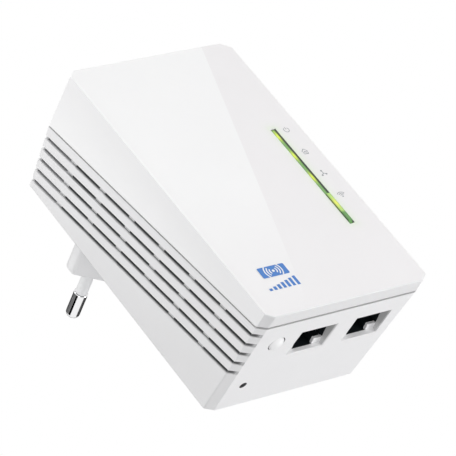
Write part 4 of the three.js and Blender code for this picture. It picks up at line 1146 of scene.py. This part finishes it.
def one_piece(name, parts):
    """Joins the meshes of several objects in one piece."""
    form = bmesh.new()
    for part in parts:
        form.from_mesh(part.data)
        bpy.data.objects.remove(part)
    return add_object(name, mesh_of(form, name))


epoxy = moulded_material("black_epoxy_package", (0.022, 0.022, 0.024, 1), 0.55, 0.1, scale=3500.0)
tinned = moulded_material("tinned_leads", (0.70, 0.70, 0.69, 1), 0.3, 0.04, 1.0, 0.08)
sink_alloy = brushed_material("drawn_aluminium", (0.60, 0.61, 0.63, 1), 0.36, (0.2, 0.2, 4.0))
shield_steel = brushed_material("stamped_tinned_steel", (0.62, 0.63, 0.63, 1), 0.3, (4.0, 1.0, 0.3))
ferrite = moulded_material("dark_ferrite", (0.045, 0.045, 0.048, 1), 0.62, 0.2, scale=1500.0)
for node, name, edge, slot, finish in (
        ("processor", "processor_package", 0.1, "dark", epoxy),
        ("memory_chip", "memory_package", 0.1, "dark", epoxy),
        ("heat_sink", "finned_heat_sink", 0.12, "alloy", sink_alloy),
        ("radio_shield", "radio_shield_can", 0.2, "steel", shield_steel),
        ("lan_transformer", "lan_transformer_case", 0.2, "dark", epoxy),
        ("coupling_transformer", "coupling_transformer_case", 0.2, "ferrite", ferrite),
        ("antenna_left", "stamped_antenna_left", 0.08, "alloy", shield_steel),
        ("antenna_right", "stamped_antenna_right", 0.08, "alloy", shield_steel)):
    soft_piece(node, name, edge, slot, finish)
legs = []
for node, along, count, reach in (
        ("processor", 0, 18, LEG_REACH), ("processor", 2, 16, LEG_REACH), ("memory_chip", 2, 14, LEG_REACH),
        ("lan_transformer", 0, 8, 1.1 * MM), ("coupling_transformer", 2, 3, 0.9 * MM)):
    legs += chip_legs(node, along, count, reach)
finish_piece(one_piece("logic_board_legs", legs), "casing", "steel", (tinned,))


def chip_parts_group():
    """Geometry group: small chip parts on a grid, some left out and some turned by a quarter."""
    tree, given, result = geometry_group("chip parts", (
        ("Width", "Float", 0.02), ("Height", "Float", 0.04), ("Columns", "Int", 6), ("Rows", "Int", 12),
        ("Part Size", "Vector", (0.0016, 0.0008, 0.0006)), ("Kept", "Float", 0.5), ("Seed", "Int", 3)))
    grid = add_node(tree, "GeometryNodeMeshGrid", {
        "Size X": given["Width"], "Size Y": given["Height"], "Vertices X": given["Columns"],
        "Vertices Y": given["Rows"]})
    chance = add_node(tree, "FunctionNodeRandomValue", {
        "Probability": given["Kept"], "Seed": given["Seed"]}, data_type="BOOLEAN")
    turn = add_node(tree, "FunctionNodeRandomValue", {4: 0, 5: 1, "Seed": given["Seed"]}, data_type="INT")
    quarter = add_node(tree, "ShaderNodeCombineXYZ", {"Z": Field(turn.outputs[2]) * (math.pi / 2)})
    parts = add_node(tree, "GeometryNodeInstanceOnPoints", {
        "Points": grid, "Selection": chance.outputs[3], "Rotation": quarter,
        "Instance": add_node(tree, "GeometryNodeMeshCube", {"Size": given["Part Size"]})})
    return end_group(tree, given, result, parts)


left, right, foot, head = (edge * MM for edge in (-15, 9, -55, -12))
chip_tan = moulded_material("chip_part_ceramic", (0.32, 0.24, 0.15, 1), 0.45, 0.1, mottle=0.5)
chips = grow("small_chip_parts", bpy.data.meshes.new("small_chip_parts"), chip_parts_group(),
             Width=right - left, Height=head - foot, Columns=9, Rows=17, Kept=0.45, Seed=7, Finish=chip_tan)
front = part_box("logic_board")[0].y
field_middle = Matrix.Translation(((left + right) / 2, front - 0.3 * MM, (foot + head) / 2))
chips.data.transform(field_middle @ Matrix.Rotation(math.pi / 2, 4, "X"))
finish_piece(chips, "casing", "ceramic", (chip_tan,))

# Headers between the boards
# Black board to board connectors with straight tinned pins that come out in front of the logic board.
HEADER_PITCH = 2.54 * MM


def pin_row(name, low, high, count, pitch, start, end, thickness):
    """A row of straight pins in the middle of a box, between two depths."""
    x, z = (low.x + high.x) / 2 - pitch * (count - 1) / 2, (low.z + high.z) / 2
    return wire_row(name, [(x, start, z), (x, end, z)], count, (pitch, 0, 0), thickness, 0.0, tinned)


for node, count in (("board_header", 5), ("button_header", 3)):
    low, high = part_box(node)
    soft_piece(node, node + "_housing", 0.15, "dark", epoxy)
    pins = pin_row(node + "_pins", low, high, count, HEADER_PITCH, low.y - 2.2 * MM, low.y + MM, 0.64 * MM)
    finish_piece(pins, "casing", "steel", (tinned,))

# Parts on the power board
# The mains parts stand on the front of the power board: a taped transformer in its ferrite core, two
# sleeved can capacitors, a yellow film capacitor, a bridge rectifier, a ceramic fuse and a wound choke.
TAPE_YELLOW, TAPE_EDGE = (0.72, 0.45, 0.03, 1), (0.55, 0.31, 0.02, 1)
SLEEVE_BLACK, STRIPE_GREY = (0.02, 0.02, 0.024, 1), (0.5, 0.5, 0.5, 1)
BARE_METAL = (0.62, 0.62, 0.63, 1)


def tape_material():
    """Yellow polyester tape wound in layers, whose edges show as fine bands."""
    made = moulded_material("yellow_winding_tape", TAPE_YELLOW, 0.32, 0.35)
    bands = (place_axes(made.node_tree)[2] * 900.0).math("FRACT")
    feed(made.node_tree.nodes["bump"], {"Height": bands})
    color_surface(made, blend_colors(bands * 0.5, TAPE_YELLOW, TAPE_EDGE))
    return made


def can_sleeve_material(name, node):
    """Black heat shrunk sleeve with a pale stripe down the negative side and a bare metal end."""
    low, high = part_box(node)
    made = moulded_material(name, SLEEVE_BLACK, 0.3, 0.05)
    x, y, z = place_axes(made.node_tree)
    radius = (high.x - low.x) / 2
    striped = blend_colors(x.math("GREATER_THAN", high.x - radius * 0.35), SLEEVE_BLACK, STRIPE_GREY)
    across, up = x - (low.x + high.x) / 2, z - (low.z + high.z) / 2
    inside = (across * across + up * up).math("SQRT").math("LESS_THAN", radius * 0.72)
    bare = inside * y.math("LESS_THAN", low.y + 0.2 * MM)
    color_surface(made, blend_colors(bare, striped, BARE_METAL))
    feed_shader(made, {"Metallic": bare})
    return made


def standing_piece(node, name, shares, slot, material, *replaced):
    """A turned part that stands on the power board, from shares of its node's radius and height."""
    low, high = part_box(node)
    profile = [(share * (high.x - low.x) / 2, up * (high.y - low.y)) for share, up in shares]
    middle = ((low.x + high.x) / 2, high.y, (low.z + high.z) / 2)
    turned_piece(name, profile, middle, (0, -1, 0), "casing", slot, material, *replaced)


can_form = [
    (0, 0), (0.84, 0), (0.96, 0.02), (1, 0.05), (0.98, 0.08), (0.9, 0.105), (0.98, 0.13), (1, 0.16),
    (1, 0.93), (0.985, 0.965), (0.93, 0.99), (0.84, 1), (0.74, 1), (0.72, 0.985), (0, 0.985)]
for node in ("bulk_capacitor", "output_capacitor"):
    standing_piece(node, node + "_can", can_form, "dark", can_sleeve_material(node + "_sleeve", node), node)
copper = moulded_material("lacquered_copper_wire", (0.55, 0.20, 0.06, 1), 0.28, 0.05, 1.0, 0.2)
WIRE_TURNS = 14
wound = [(0.52, 0.16)] + [
    (0.86 + 0.05 * math.sin(math.pi * step / 3), 0.16 + 0.68 * (3 * i + step) / (3 * WIRE_TURNS))
    for i in range(WIRE_TURNS) for step in range(3)] + [(0.86, 0.84), (0.52, 0.84)]
drum = [
    (0, 0), (0.95, 0), (1, 0.03), (1, 0.12), (0.96, 0.15), (0.5, 0.15), (0.5, 0.85), (0.96, 0.85), (1, 0.88),
    (1, 0.97), (0.95, 1), (0, 1)]
standing_piece("line_choke", "choke_drum", drum, "ferrite", ferrite, "line_choke")
standing_piece("line_choke", "choke_winding", wound, "winding", copper)
film = moulded_material("yellow_film_case", (0.62, 0.37, 0.02, 1), 0.35, 0.05)
ceramic = moulded_material("pale_fuse_ceramic", (0.70, 0.62, 0.50, 1), 0.42, 0.08, mottle=0.08)
soft_piece("transformer_core", "ferrite_core", 0.25, "ferrite", ferrite)
soft_piece("transformer_winding", "taped_winding", 0.7, "winding", tape_material())
soft_piece("x_capacitor", "film_capacitor_case", 0.4, "film", film)
soft_piece("rectifier", "bridge_rectifier", 0.25, "dark", epoxy)
soft_piece("line_fuse", "ceramic_fuse", 0.4, "ceramic", ceramic)
leads = []
for node in ("x_capacitor", "rectifier", "line_fuse", "bulk_capacitor", "output_capacitor"):
    low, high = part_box(node)
    count = 4 if node == "rectifier" else 2
    pitch, start, end = (high.x - low.x) * 0.7 / (count - 1), high.y - 0.5 * MM, high.y + 2.4 * MM
    leads.append(pin_row(node + "_leads", low, high, count, pitch, start, end, 0.6 * MM))
finish_piece(one_piece("power_board_leads", leads), "casing", "steel", (tinned,))
